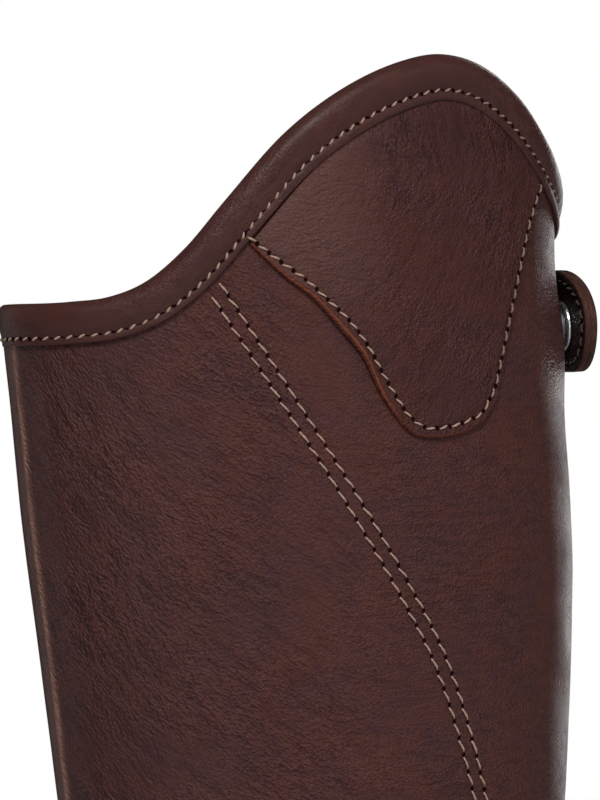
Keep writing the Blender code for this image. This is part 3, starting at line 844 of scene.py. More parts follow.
def leather_finish(name, red, plum, depth, roughness, layers, quiet, raw_edge=False):
    """Grained leather: ridges and pebbles, stronger in some places than in others, with pores, colour
    blotches, a soft uneven gloss, painted shade in the furrows and towards the shin's front, and painted
    highlights on the crests, the crease and the raw edge. Each layer of grain is a row of a grain table."""
    made, tree, shader = new_finish(name, red, roughness)
    place = attribute(tree, "grain", "Vector")
    wander = node(tree, "TexNoise", {"Vector": place, "Scale": 150.0, "Detail": 2.0}).outputs["Color"]
    shift = node(tree, "VectorMath", {0: wander, 1: (-0.5, -0.5, -0.5)}, operation="ADD").outputs[0]
    bent = node(
        tree, "VectorMath", {0: shift, 1: (0.0020, 0.0020, 0.0), 2: place}, operation="MULTIPLY_ADD"
    ).outputs[0]
    grain = grain_layer(tree, bent, *layers[0][:3])
    for degrees, size, long, share_name in layers[1:]:
        share = attribute(tree, share_name)
        other = grain_layer(tree, bent, degrees, size, long)
        kept = times(tree, grain, number(tree, "SUBTRACT", 1.0, share))
        grain = plus(tree, kept, times(tree, other, share))
    strength = ranged(tree, noise(tree, place, 34.0, 3.0, 0.6), 0.36, 0.66, quiet, 1.0)
    if len(layers) > 1:
        strength = times(tree, strength, attribute(tree, "depth"))
    raised = times(tree, grain, strength)
    pores = noise(tree, bent, 3600.0, 3.0, 0.6)
    height = plus(tree, raised, times(tree, pores, 0.30))
    blotch = ranged(tree, noise(tree, place, 52.0, 5.0, 0.66, 0.6), 0.40, 0.62, 0.0, 0.75)
    colour = mixed(tree, blotch, red, plum)
    # Painted shade: darker towards the shin's front and the overlay's top, where the steep share is high
    colour = mixed(tree, times(tree, attribute(tree, "steep_grain_and_shade"), 0.50), colour, tinted(plum, 0.72))
    fleck = ranged(tree, noise(tree, bent, 330.0, 3.0, 0.6), 0.50, 0.72, 0.0, 0.6)
    colour = mixed(tree, fleck, colour, tinted(plum, 1.05, 0.92, 1.25))
    # Painted shade in the grain's furrows: darker where the grain is low
    low = ranged(tree, grain, 0.15, 0.70)
    furrow_shade = times(tree, number(tree, "SUBTRACT", 1.0, low), strength)
    colour = mixed(tree, times(tree, furrow_shade, 0.26, True), colour, tinted(red, 0.30))
    # Painted highlight on the grain's crests: lighter where the grain is high
    wear_and_painted_light = times(tree, ranged(tree, grain, 0.70, 1.35), strength)
    colour = mixed(tree, times(tree, wear_and_painted_light, 0.42, True), colour, tinted(red, 1.75, 1.9, 2.05))
    # Painted highlight: the crease, the strip left of it and the overlay's upper left
    colour = mixed(tree, times(tree, attribute(tree, "painted_highlight"), 0.95, True), colour, HIGHLIGHT_BROWN)
    rough = ranged(tree, noise(tree, place, 60.0, 3.0, 0.6), 0.3, 0.7, roughness - 0.06, roughness + 0.09)
    if raw_edge:
        raw = attribute(tree, "raw")
        fibres = noise(tree, stretched_place(tree, place, (0.5, 1.0, 1.0)), 1500.0, 4.0, 0.7)
        share = ranged(tree, fibres, 0.35, 0.65)
        edge = mixed(tree, share, tinted(EDGE_BROWN, 0.35), EDGE_BROWN)
        # Painted highlight: an orange line along the middle of the raw edge
        line = attribute(tree, "raw_edge_highlight")
        edge = mixed(tree, times(tree, line, 0.8, True), edge, EDGE_HIGHLIGHT_ORANGE)
        colour = mixed(tree, raw, colour, edge)
        rough = plus(tree, rough, times(tree, raw, 0.3), clamp=True)
        height = plus(tree, height, times(tree, times(tree, fibres, raw), 0.7))
    wired(tree, shader, colour, height, depth, rough, specular=LEATHER_SPECULAR)
    return made


def plain_finish(name, colour, other, scale, roughness, depth, shine=0.3):
    """A finish with uneven colour, gloss and fine relief, from noise alone."""
    made, tree, shader = new_finish(name, colour, roughness)
    where = node(tree, "TexCoord").outputs["Object"]
    fine = noise(tree, where, scale, 4.0, 0.65)
    rough = ranged(tree, noise(tree, where, scale * 0.3, 3.0), 0.3, 0.7, roughness - 0.07, roughness + 0.07)
    blend = mixed(tree, ranged(tree, fine, 0.3, 0.7), colour, other)
    wired(tree, shader, blend, fine, depth, rough, specular=shine)
    return made


def thread_finish():
    """Waxed thread with uneven colour, darkened by painted shade where its row lies in shade."""
    made, tree, shader = new_finish("waxed_thread", THREAD, 0.72)
    where = node(tree, "TexCoord").outputs["Object"]
    fibres = noise(tree, where, 2600.0, 4.0, 0.7)
    patches = noise(tree, where, 210.0, 2.0)
    colour = mixed(tree, ranged(tree, fibres, 0.3, 0.7), tinted(THREAD, 0.62), THREAD)
    colour = mixed(tree, ranged(tree, patches, 0.45, 0.75, 0.0, 0.5), colour, (0.33, 0.185, 0.13))
    # Painted shade on the thread where its row lies in shade
    colour = mixed(tree, attribute(tree, "thread_shade"), colour, SHADED_THREAD)
    wired(tree, shader, colour, fibres, 0.10, sheen=0.15)
    return made


def tape_finish():
    """A woven twill tape, its ribs in a zigzag."""
    made, tree, shader = new_finish("woven_tape", (0.020, 0.012, 0.010), 0.85)
    place = attribute(tree, "grain", "Vector")
    parts = node(tree, "SeparateXYZ", {0: place}).outputs
    folded = number(tree, "PINGPONG", parts[0], 0.0026)
    slanted = plus(tree, folded, times(tree, parts[1], 0.9))
    ribs = number(tree, "SINE", times(tree, slanted, 2 * math.pi / 0.00075))
    across = number(tree, "SINE", times(tree, parts[1], 2 * math.pi / 0.0004))
    height = plus(tree, ribs, times(tree, across, 0.3))
    colour = mixed(tree, ranged(tree, height, -1.0, 1.0), (0.009, 0.006, 0.005), (0.030, 0.018, 0.015))
    wired(tree, shader, colour, height, 0.06, sheen=0.2)
    return made


def metal_finish(name, colour, wear_and_painted_light, roughness):
    """Metal with cloudy colour and gloss, and very fine scratches along it."""
    made, tree, shader = new_finish(name, colour, roughness, 1.0)
    where = node(tree, "TexCoord").outputs["Object"]
    cloud = noise(tree, where, 320.0, 4.0, 0.6)
    scratch = noise(tree, stretched_place(tree, where, (1.0, 1.0, 0.08)), 2400.0, 2.0, 0.5)
    blend = mixed(tree, ranged(tree, cloud, 0.35, 0.65), colour, wear_and_painted_light)
    clouded = ranged(tree, cloud, 0.3, 0.7, roughness - 0.04, roughness + 0.08)
    rough = plus(tree, ranged(tree, scratch, 0.3, 0.7, -0.05, 0.08), clouded)
    wired(tree, shader, blend, scratch, 0.003, rough)
    return made


def edge_finish():
    """The dyed cut edge of the tab, with fibres along it."""
    made, tree, shader = new_finish("dyed_edge", (0.070, 0.028, 0.020), 0.72)
    place = attribute(tree, "grain", "Vector")
    fibres = noise(tree, stretched_place(tree, place, (0.35, 1.0, 1.0)), 1300.0, 4.0, 0.7)
    colour = mixed(tree, ranged(tree, fibres, 0.3, 0.7), (0.022, 0.008, 0.006), (0.066, 0.025, 0.018))
    wired(tree, shader, colour, fibres, 0.10, specular=0.15)
    return made


PANEL_GRAIN = (
    # degrees, pebble size, how far it is drawn out, name of its share
    (-34, 0.85, 0.55, ""),
    (-60, 0.90, 0.48, "steep_grain_and_shade"),
    (2, 0.75, 0.58, "level"),
)
OVERLAY_GRAIN = ((56, 0.78, 0.60, ""), (5, 0.78, 0.58, "level"), (97, 0.85, 0.50, "steep_grain_and_shade"))
PLAIN_GRAIN = ((0, 0.8, 0.7, ""),)
# name, red, plum, relief, roughness, grain, least strength, raw edge
PANEL, OVERLAY, BAND, SHADED_TAB_INSIDE, TAB = (
    leather_finish(*row)
    for row in (
        ("grained_leather", RED_BROWN, PLUM_BROWN, 0.50, 0.44, PANEL_GRAIN, 0.55),
        ("overlay_leather", OVERLAY_RED, OVERLAY_PLUM, 0.37, 0.44, OVERLAY_GRAIN, 0.45, True),
        ("binding_leather", BAND_RED, BAND_PLUM, 0.11, 0.42, PLAIN_GRAIN, 0.2),
        # The tab's inside, coloured almost black as painted shade where it faces the leg
        ("tab_inside", SHADED_INSIDE_BROWN, SHADED_INSIDE_BLACK, 0.30, 0.38, PLAIN_GRAIN, 0.3),
        ("tab_leather", BAND_RED, BAND_PLUM, 0.22, 0.42, PLAIN_GRAIN, 0.2),
    )
)
FLESH = plain_finish("flesh_side", FLESH_BROWN, tinted(FLESH_BROWN, 0.7), 900.0, 0.93, 0.12)
CUT = plain_finish("cut_leather", EDGE_BROWN, tinted(EDGE_BROWN, 0.5), 1200.0, 0.85, 0.10)
# Needle holes: shallow dishes coloured almost black as painted shade
HOLE_SHADE = plain_finish("needle_hole_shade", HOLE_SHADE_RED, HOLE_SHADE_BLACK, 900.0, 0.95, 0.02, shine=0.0)
TWINE = thread_finish()
TAPE = tape_finish()
DYED = edge_finish()
ZIP_METAL = metal_finish("antique_metal", (0.17, 0.135, 0.11), (0.28, 0.235, 0.20), 0.34)
NICKEL = metal_finish("polished_nickel", (0.70, 0.70, 0.71), (0.60, 0.60, 0.61), 0.27)


# The two panels


def panel_places(strips, rows):
    """(turn, height) all over a panel, from strips of (left edge, right edge, shares between them)."""
    v = np.linspace(0, 1, rows)[None]
    found = []
    for k, (left, right, shares) in enumerate(strips):
        share = (shares if k == 0 else shares[1:])[:, None]
        turn = left(0.0) * (1 - share) + right(0.0) * share + 0 * v
        for _ in range(80):
            height = HEM_OF_PANELS(turn) * (1 - v) + TOP_OF_PANELS(turn) * v
            turn += 0.6 * (left(height) * (1 - share) + right(height) * share - turn)
        found.append(np.stack([turn, height], -1))
    return np.concatenate(found)


def front_line(height):
    """The shin's line, which is turn 0 at every height."""
    return 0.0 * np.asarray(height)


def zip_edge(side, round_by=0.0):
    return lambda height: zip_turn(height, side * ZIP_OPENING_HALF) - round_by


def leather_shell(places, outer, under):
    """A wall from its outer face's points to a face this far from the leather's own."""
    turn, height = np.moveaxis(places[:: SHELL_STEPS[0], :: SHELL_STEPS[1]], -1, 0)
    return shell(outer, skin(turn, height, hills(turn, height) + under), SHELL_STEPS)


def make_panel(name, strips, node_name):
    places = panel_places(strips, PANEL_ROWS)
    turn, height = np.moveaxis(places, -1, 0)
    points, faces, kinds = leather_shell(places, skin(turn, height, relief(turn, height)), -WALL)
    values = {key: both(value, SHELL_STEPS) for key, value in grain_values(turn, height).items()}
    made = add_piece(
        name, points, faces, [PANEL, FLESH, CUT], (node_name,),
        kinds=kinds, grain=both(hide_place(turn, height), SHELL_STEPS), values=values,
    )


PANEL_ROWS = 280
SEAM_DENSE = (1.0, 0.035, 3.5)
front_strips = (
    (zip_edge(1, 360), front_line, graded(141, ((0.0, 0.03, 2.0), (1.0, 0.03, 3.0)))),
    (front_line, seam_turn, graded(150, ((0.0, 0.04, 2.5), SEAM_DENSE))),
)
outer_strips = ((seam_turn, zip_edge(-1), graded(150, ((0.0, 0.03, 3.5), (1.0, 0.03, 2.0)))),)
make_panel("front_panel_leather", front_strips, "front_panel")
make_panel("outer_panel_leather", outer_strips, "outer_panel")


# The bindings


def over_overlay(turns):
    share = ease(turns, OVERLAY_CREST_FROM - 2, OVERLAY_CREST_FROM + 2)
    return share * (1 - ease(turns, OVERLAY_CREST_TO - 2, OVERLAY_CREST_TO + 2))


def band_down(turns, down):
    """How far below the top line a line of the top band runs. Its sewing dips over the overlay's crest,
    and the strip below the sewing narrows towards the shin."""
    crest = ease(turns, 62, 96) * (1 - ease(turns, 128, 160))
    narrow = 1 - (1 - BAND_FLANGE_AT_SHIN) * (1 - ease(turns, 45, 88))
    near_row = hump(down, TOP_ROW, 2.4)
    below_row = max(down - TOP_ROW, 0.0)
    return down - below_row * (1 - narrow) + crest * (BAND_CREST_DOWN + BAND_CREST_ROW_DOWN * near_row)


def band_rise(turns, down, lift):
    """What the top band's outer face gains over the overlay, and loses at the shin."""
    gain = BAND_OVER_OVERLAY * over_overlay(turns) * float(ease(down, 6.0, 10.0))
    return gain - (BAND_SHIN_DIP + (1 - BAND_SHIN_LIFT) * max(lift, 0.0)) * at_shin(turns)


def make_binding(name, line, towards, profile, cavity, spacing, sewing_row, node_name):
    """A strip folded over an edge from zip to zip. Returns the turns that it runs along."""
    steps = BINDING_STEPS
    ends = []
    for side, round_by in ((1, 360), (-1, 0)):
        edge = zip_edge(side, round_by)
        ends.append(edge(line(edge(0.0 if towards < 0 else HEM_LOWEST))))
    fine = np.linspace(ends[0], ends[1], 4001)
    along = run_along(skin(fine, line(fine), 0 * fine))
    count = int(along[-1] / spacing / steps[0]) * steps[0]
    s = np.linspace(0, along[-1], count + 1)
    turns = np.interp(s, along, fine)
    outer = []
    grain = []
    across = 0.0
    before = profile[0]
    for down, lift in profile:
        across += math.hypot(down - before[0], lift - before[1])
        before = (down, lift)
        outward = 1 if lift > -1 else -1
        wave = np.cos(2 * math.pi * s / TOP_SEWING[0]) * 0.05 * hump(down, sewing_row, 1.5)
        uneven = ripples(s, across, 9.0, 21) * 0.07 + ripples(s, across, 26.0, 22) * 0.10
        uneven *= 1.0 if 1.0 < down < 10.4 else 0.3
        extra = wave + uneven
        if towards < 0 and lift > -1:
            extra = extra + band_rise(turns, down, lift)
        at = band_down(turns, down) if towards < 0 else down
        outer.append(skin(*inset(line, turns, at, towards), lift + outward * extra))
        grain.append(np.stack([s, np.full_like(s, across), 0 * s], -1))
    coarse = turns[:: steps[0]]
    inner = []
    for down, lift in cavity:
        at = band_down(coarse, down) if towards < 0 else down
        lifts = np.full_like(coarse, lift)
        if towards < 0 and lift > -0.5:
            lifts = lifts + band_rise(coarse, down, lift) - 0.05
        inner.append(skin(*inset(line, coarse, at, towards), lifts))
    points, faces, kinds = shell(np.stack(outer, 1), np.stack(inner, 1), steps)
    made = add_piece(
        name, points, faces, [BAND, FLESH, CUT], (node_name,),
        kinds=kinds, grain=both(np.stack(grain, 1), steps),
    )
    return turns


top_turns = make_binding(
    "top_band_leather", top_line, -1, TOP_PROFILE, TOP_CAVITY, 0.55, TOP_ROW, "top_band"
)
hem_turns = make_binding(
    "hem_band_leather", hem_line, 1, HEM_PROFILE, HEM_CAVITY, 0.8, HEM_ROW, "hem_band"
)


# The overlay


def nearest(edge, turn, height):
    """How far off the nearest point of a line of places is, and which point that is."""
    arc = arc_of(turn, height)
    far = np.full(np.shape(arc), FAR_OFF)
    which = np.zeros(far.shape, int)
    for k, (x, y) in enumerate(np.column_stack([arc_of(edge[:, 0], edge[:, 1]), edge[:, 1]])):
        distance = np.hypot(arc - x, height - y)
        which = np.where(distance < far, k, which)
        far = np.minimum(far, distance)
    return far, which


def edge_curl(turn, height, edge):
    """How far the overlay stands up along the upper part of its raw front edge."""
    near = nearest(edge, turn, height)[0]
    return EDGE_CURL * np.exp(-near / EDGE_CURL_REACH) * hump(height, EDGE_CURL_HEIGHT, EDGE_CURL_HALF_HEIGHT)


def make_overlay():
    """The overlay, thin towards its raw edges. Returns its front edge."""
    u = graded(186, ((0.0, 0.03, 2.5), (1.0, 0.03, 2.5)))
    v = graded(150, ((0.0, 0.04, 2.5), (1.0, 0.02, 0.5)))
    crest = OVERLAY_CREST_FROM + (OVERLAY_CREST_TO - OVERLAY_CREST_FROM) * u
    high = np.column_stack(inset(top_line, crest, OVERLAY_TOP_DOWN, -1))
    left = through((tuple(high[0]), *OVERLAY_FRONT_EDGE), 1 - v)
    low = through((OVERLAY_FRONT_EDGE[-1], *OVERLAY_LOW_EDGE), u)
    right = through((OVERLAY_LOW_EDGE[-1], *OVERLAY_BACK_EDGE, tuple(high[-1])), v)
    places = patch(low, high, left, right, u, v)
    turn, height = np.moveaxis(places, -1, 0)
    arc = arc_of(turn, height)
    near_edge = np.full(turn.shape, FAR_OFF)
    bevel = np.ones(turn.shape)
    for edge, (width, least, more) in zip((left[::-1], low, right), OVERLAY_BEVELS):
        far, which = nearest(edge, turn, height)
        wide = width * (least + more * hump(edge[which, 1], OVERLAY_BEVEL_HEIGHT, OVERLAY_BEVEL_HALF))
        bevel = np.where(far < near_edge, wide, bevel)
        near_edge = np.minimum(near_edge, far)
    top_share = ease(np.broadcast_to(1 - v[None], turn.shape), 0.0, 0.05)
    thick = OVERLAY_SKIVED + (OVERLAY_LIFT - OVERLAY_SKIVED) * top_share
    share = np.clip(near_edge / bevel, 0, 1)
    rough_cut = 1 + 0.10 * ripples(arc + height, height, 2.3, 31)
    rise = np.sqrt(1 - (1 - share) ** 1.7)
    near_row = nearest(through(OVERLAY_STITCHES, np.linspace(0, 1, 500)), turn, height)[0]
    lift = hills(turn, height) + 0.04 + (thick * rough_cut - 0.04) * rise
    lift += humps(near_row, OVERLAY_ROW_RELIEF) * rise
    curl = edge_curl(turn, height, left)
    under = curl[:: SHELL_STEPS[0], :: SHELL_STEPS[1]] - 0.05
    points, faces, kinds = leather_shell(places, skin(turn, height, lift + curl), under)
    left_part = 1 - ease(turn, 74, 98)
    values = {
        "raw": 1 - ease(share, 0.72, 1.0),
        # Painted highlight along the middle of the raw edge
        "raw_edge_highlight": hump(share, 0.52, 0.13) * (0.55 + 0.45 * ripples(height, arc, 5.0, 32)),
        "level": left_part,
        # Steep grain at the overlay's top, where the colour is also darkened as painted shade
        "steep_grain_and_shade": ease(height, 88, 103) * (1 - left_part),
        "depth": 1 + 0.45 * ease(turn, 112, 124),
        # Painted highlight on the overlay's upper left
        "painted_highlight": 0.22 * left_part * ease(height, 48, 84),
    }
    made = add_piece(
        "knee_overlay_leather", points, faces, [OVERLAY, FLESH, CUT], ("knee_overlay",),
        kinds=kinds, grain=both(hide_place(turn, height), SHELL_STEPS), smooth_below=60,
        values={key: both(value, SHELL_STEPS) for key, value in values.items()},
    )
    return left


overlay_front = make_overlay()


# Sewing on the leather

levels = np.linspace(-286, 84, 900)


def seam_line_places(side):
    height = levels[levels < 80]
    slope = (seam_turn(height + 1) - seam_turn(height - 1)) / 2 * girth(height) / 360
    turn = seam_turn(height) + side * SEAM_ROW * np.hypot(1, slope) * 360 / girth(height)
    below_band = top_line(turn) - height > 13.5
    above_hem = height - hem_line(turn) > 9.5
    keep = below_band & above_hem
    return row_on_leather(turn[keep], height[keep], relief(turn[keep], height[keep]))


stitches("seam_stitches", [seam_line_places(-1), seam_line_places(1)], SEAM_SEWING)

row_turn, row_height = through(OVERLAY_STITCHES, np.linspace(0, 1, 600)).T
row_lift = hills(row_turn, row_height) + OVERLAY_LIFT - 0.2 + edge_curl(row_turn, row_height, overlay_front)
# Painted shade on the overlay's stitches towards the back
row_thread_shade = 0.55 * ease(row_turn, 108, 126)
stitches("overlay_stitches", [row_on_leather(row_turn, row_height, row_lift, row_thread_shade)], OVERLAY_SEWING, 0.17)


def band_row(line, turns, distance, towards, lift, thread_shade=0.0):
    side = 1 if np.mean(lift) > -1 else -1
    return row_on_leather(*inset(line, turns, distance, towards), lift, thread_shade, side)


top_lift = 0.96 + band_rise(top_turns, TOP_ROW, 0.96)
# Painted shade on the top band's stitches past the outer side
top_thread_shade = 0.48 * ease(top_turns, 88, 128)
top_row = band_row(top_line, top_turns, band_down(top_turns, TOP_ROW), -1, top_lift, top_thread_shade)
stitches("top_band_stitches", [top_row], TOP_SEWING, 0.16)
stitches(
    "binding_stitches",
    [
        band_row(top_line, top_turns, TOP_ROW, -1, -3.20),
        band_row(hem_line, hem_turns, HEM_ROW, 1, 0.98),
        band_row(hem_line, hem_turns, HEM_ROW, 1, -3.08),
    ],
    PLAIN_SEWING,
)


def zip_row(side):
    height = np.linspace(-284, 76, 700)
    turn = zip_turn(height, side * (ZIP_OPENING_HALF + ZIP_ROW)) % 360
    return row_on_leather(turn, height, relief(turn, height))


stitches("zip_edge_stitches", [zip_row(1), zip_row(-1)], PLAIN_SEWING)


# The zip


def make_tape(name, side, node_name):
    heights = np.linspace(TAPE_FOOT, TAPE_TOP, 181)[None]
    across = np.linspace(TAPE_ACROSS_FROM, TAPE_ACROSS_TO, 13)[:, None]
    if side < 0:
        across = -across[::-1]
    turn = zip_turn(heights, across)
    height = np.broadcast_to(heights, turn.shape)
    bead = hump(np.abs(across), 1.6, 0.5) * 0.35 + 0 * height
    top = -WALL - 0.12 + 0.02 * np.sin(height * 0.9) + bead
    outer = skin(turn, height, top)
    inner = skin(turn[:, ::3], height[:, ::3], top[:, ::3] - TAPE_THICKNESS - bead[:, ::3] * 1.8)
    points, faces, _ = shell(outer, inner, TAPE_STEPS)
    place = np.stack([across + 0 * height, height, 0 * height], -1)
    made = add_piece(
        name, points, faces, [TAPE], (node_name,), grain=both(place, TAPE_STEPS), smooth_below=50
    )


make_tape("zip_tape_outer_cloth", -1, "zip_tape_outer")
make_tape("zip_tape_inner_cloth", 1, "zip_tape_inner")


def inset_outline(outline, distance):
    """An outline that runs anticlockwise, moved inward."""
    points = np.array(outline, float)
    after = unit(np.roll(points, -1, 0) - points)
    inward = np.column_stack([-after[:, 1], after[:, 0]])
    corner = inward + np.roll(inward, 1, 0)
    corner /= (corner * inward).sum(1, keepdims=True)
    return points + corner * distance


def prism(outline, low, high, bevel):
    """Points and faces of a flat shape with rounded edges."""
    count = len(outline)
    layers = []
    for level, distance in (
        (low, bevel), (low + 0.3 * bevel, 0.3 * bevel), (low + bevel, 0),
        (high - bevel, 0), (high - 0.3 * bevel, 0.3 * bevel), (high, bevel),
    ):
        ring = inset_outline(outline, distance)
        layers.append(np.column_stack([ring, np.full(count, level)]))
    faces = [tuple(range(count))[::-1], tuple(range(5 * count, 6 * count))]
    for n in range(5):
        faces += ring_faces(n * count, (n + 1) * count, count)
    return np.concatenate(layers), faces


def joined(parts):
    """Several parts' points and faces as one."""
    points = []
    faces = []
    total = 0
    for made, made_faces in parts:
        points.append(made)
        faces += [tuple(v + total for v in face) for face in made_faces]
        total += len(made)
    return np.concatenate(points), faces


def anticlockwise(outline):
    points = np.array(outline, float)
    turned = np.roll(points, -1, 0)
    area = (points[:, 0] * turned[:, 1] - turned[:, 0] * points[:, 1]).sum()
    return points if area > 0 else points[::-1]


def on_zip(points, height, across=0.0):
    """Local points (across, up, lift) set on the zip at this height."""
    point, round_leg, upward, outward = skin_axes(zip_turn(height, across), height)
    return point + points[:, :1] * round_leg + points[:, 1:2] * upward + points[:, 2:] * outward


def make_teeth():
    """Two closed rows of teeth, the two stops above the slider and the one at the foot."""
    parts = []
    top = SLIDER_HEIGHT + 2.0
    outline = anticlockwise(TOOTH_OUTLINE)
    mirrored = anticlockwise(np.array(TOOTH_OUTLINE) * (-1, 1))
    count = int((top - CHAIN_FOOT) / TOOTH_PITCH)
    for n in range(count):
        for side, shape, shift in ((1, outline, 0.0), (-1, mirrored, 0.5)):
            made, made_faces = prism(shape, TOOTH_LOW, TOOTH_HIGH, 0.16)
            parts.append((on_zip(made, CHAIN_FOOT + 0.7 + (n + shift) * TOOTH_PITCH), made_faces))
    stop = anticlockwise(((-1.5, -1.6), (1.5, -1.6), (1.5, 1.6), (-1.5, 1.6)))
    for side in (-1, 1):
        made, made_faces = prism(stop, -3.4, -0.3, 0.35)
        parts.append((on_zip(made, SLIDER_HEIGHT + 8.2, side * 2.4), made_faces))
    foot = anticlockwise(((-3.4, -1.6), (3.4, -1.6), (3.4, 1.6), (-3.4, 1.6)))
    made, made_faces = prism(foot, -3.3, -0.2, 0.35)
    parts.append((on_zip(made, CHAIN_FOOT - 1.0), made_faces))
    points, faces = joined(parts)
    add_piece("zip_teeth", points, faces, [ZIP_METAL], ("zip_chain",), smooth_below=35)


make_teeth()


def bridge_parts():
    """The arch over the slider that the pull hangs from."""
    profile, inner = (
        [(-x, y) for x, y in half] + list(half[-2::-1]) for half in (BRIDGE_OUTSIDE, BRIDGE_INSIDE)
    )
    points = []
    for x, shrink in ((-0.8, 0.16), (-0.64, 0.0), (0.64, 0.0), (0.8, 0.16)):
        for outside, inside in zip(profile, inner):
            o = np.array(outside)
            i = np.array(inside)
            step = (i - o) / np.linalg.norm(i - o) * shrink
            points.append((x, *(o + step)))
            points.append((x, *(i - step)))
    size = 2 * len(profile)
    faces = []
    for layer in range(3):
        s = layer * size
        sides = [(k, k + 2) for k in range(size - 2)] + [(0, 1), (size - 2, size - 1)]
        faces += [(a + s, b + s, b + s + size, a + s + size) for a, b in sides]
    for k in range(len(profile) - 1):
        for s in (0, 3 * size):
            faces.append((2 * k + s, 2 * k + 2 + s, 2 * k + 3 + s, 2 * k + 1 + s))
    return np.array(points, float), faces


def make_slider():
    outline = anticlockwise(SLIDER_OUTLINE)
    neck = anticlockwise(((-0.8, 2.6), (0.8, 2.6), (0.8, 5.1), (-0.8, 5.1)))
    parts = [
        prism(outline, 0.05, 1.25, 0.3),
        prism(outline, -4.95, -3.95, 0.3),
        prism(neck, -4.2, 0.3, 0.2),
        bridge_parts(),
    ]
    for side in (-1, 1):
        flange = [(side * x, y) for x, y in ((3.75, -3.5), (4.35, -0.2), (4.45, 3.4), (3.9, 3.4))]
        parts.append(prism(anticlockwise(flange), -0.75, 0.35, 0.12))
    points, faces = joined(parts)
    placed = on_zip(points, SLIDER_HEIGHT)
    add_piece("zip_slider_metal", placed, faces, [ZIP_METAL], ("zip_slider",))


make_slider()


def ring_shape(outer, inner, low, high, bevel):
    """A flat shape with one hole, rounded on both. The two outlines have as many points as each other."""
    count = len(outer)
    loops = []
    for outline, sign in ((outer, 1), (inner, -1)):
        for level, distance in ((low, bevel), (low + bevel, 0), (high - bevel, 0), (high, bevel)):
            ring = inset_outline(outline, sign * distance)
            loops.append(np.column_stack([ring, np.full(count, level)]))
    order = [0, 1, 2, 3, 7, 6, 5, 4]
    faces = []
    for a, b in zip(order, order[1:] + order[:1]):
        faces += ring_faces(a * count, b * count, count)
    return np.concatenate(loops), faces


def rounded_rectangle(low, high, radius, sides=6):
    right, top = high[0] - radius, high[1] - radius
    left, foot = low[0] + radius, low[1] + radius
    centres = ((right, top), (left, top), (left, foot), (right, foot))
    points = []
    for quarter, (x, y) in enumerate(centres):
        for k in range(sides + 1):
            angle = (quarter + k / sides) * math.pi / 2
            points.append((x + radius * math.cos(angle), y + radius * math.sin(angle)))
    return np.array(points)


def make_pull():
    outer = rounded_rectangle((-PULL_HALF_WIDTH, -24.4), (PULL_HALF_WIDTH, 0.55), 0.5)
    outer[:, 0] *= 1 - (1 - PULL_WAIST / PULL_HALF_WIDTH) * ease(outer[:, 1], -19.5, -9.5)
    foot = outer[:, 1] < -20
    angle = np.arctan2(outer[foot, 1] - PULL_FOOT, outer[foot, 0])
    outer[foot, 0] = PULL_HALF_WIDTH * np.cos(angle)
    outer[foot, 1] = PULL_FOOT + PULL_HALF_WIDTH * np.sin(angle)
    window = rounded_rectangle((-1.3, -7.8), (1.3, -0.55), 0.45)
    points, faces = ring_shape(anticlockwise(outer), anticlockwise(window), -0.55, 0.55, 0.18)
    placed = on_zip(points + (0, PULL_BAR_UP, PULL_BAR_LIFT), SLIDER_HEIGHT)
    add_piece("zip_pull_metal", placed, faces, [ZIP_METAL], ("zip_pull",), body="pull")


make_pull()


# The snap tab and its press stud


def round_end(along, end, length):
    share = np.clip(1 - np.abs(along - end) / length, 0, 1)
    return np.sqrt(1 - share**2)


def tab_points(along, up, lift):
    """Places on the tab: straight off the stud at its tip, and bent down to the leather at its root."""
    point, round_leg, upward, outward = skin_axes(SNAP_TURN, SNAP_HEIGHT)
    along_3 = along[..., None]
    straight = point + along_3 * round_leg + up[..., None] * upward
    straight = straight + (TAB_LIFT_AT_SNAP + np.asarray(lift))[..., None] * outward
    laid = skin(SNAP_TURN + 360 * along / girth(SNAP_HEIGHT), SNAP_HEIGHT + up, FIT_GAP + lift)
    share = ease(along_3, TAB_STRAIGHT_TO, TAB_DOWN_BY)
    return straight * (1 - share) + laid * share


def tab_outline(count):
    """(along, up) round the tab, evenly spaced, with the same outline as the solid."""
    spread = (1 - np.cos(np.linspace(0, math.pi, 400))) / 2
    along = TAB_TIP + (TAB_ROOT - TAB_TIP) * spread
    root = round_end(along, TAB_ROOT, TAB_ROOT_ROUND)
    upper = TAB_HALF_WIDTH * np.minimum(round_end(along, TAB_TIP, TAB_TIP_ROUND_UPPER), root)
    lower = TAB_HALF_WIDTH * np.minimum(round_end(along, TAB_TIP, TAB_TIP_ROUND_LOWER), root)
    line = np.concatenate([np.column_stack([along, -lower]), np.column_stack([along, upper])[-2:0:-1]])
    closed = np.concatenate([line, line[:1]])
    run = run_along(closed)
    spots = np.linspace(0, run[-1], count, endpoint=False)
    return np.column_stack([np.interp(spots, run, closed[:, k]) for k in (0, 1)])


def tab_inset(outline, distance):
    """The outline moved inward towards the tab's middle line."""
    middle = np.column_stack([np.clip(outline[:, 0], TAB_TIP + 13, TAB_ROOT - 12), 0 * outline[:, 0]])
    reach = np.linalg.norm(outline - middle, axis=1)
    share = np.clip(distance / np.maximum(reach, 1e-6), 0, 1)[:, None]
    return outline + (middle - outline) * share


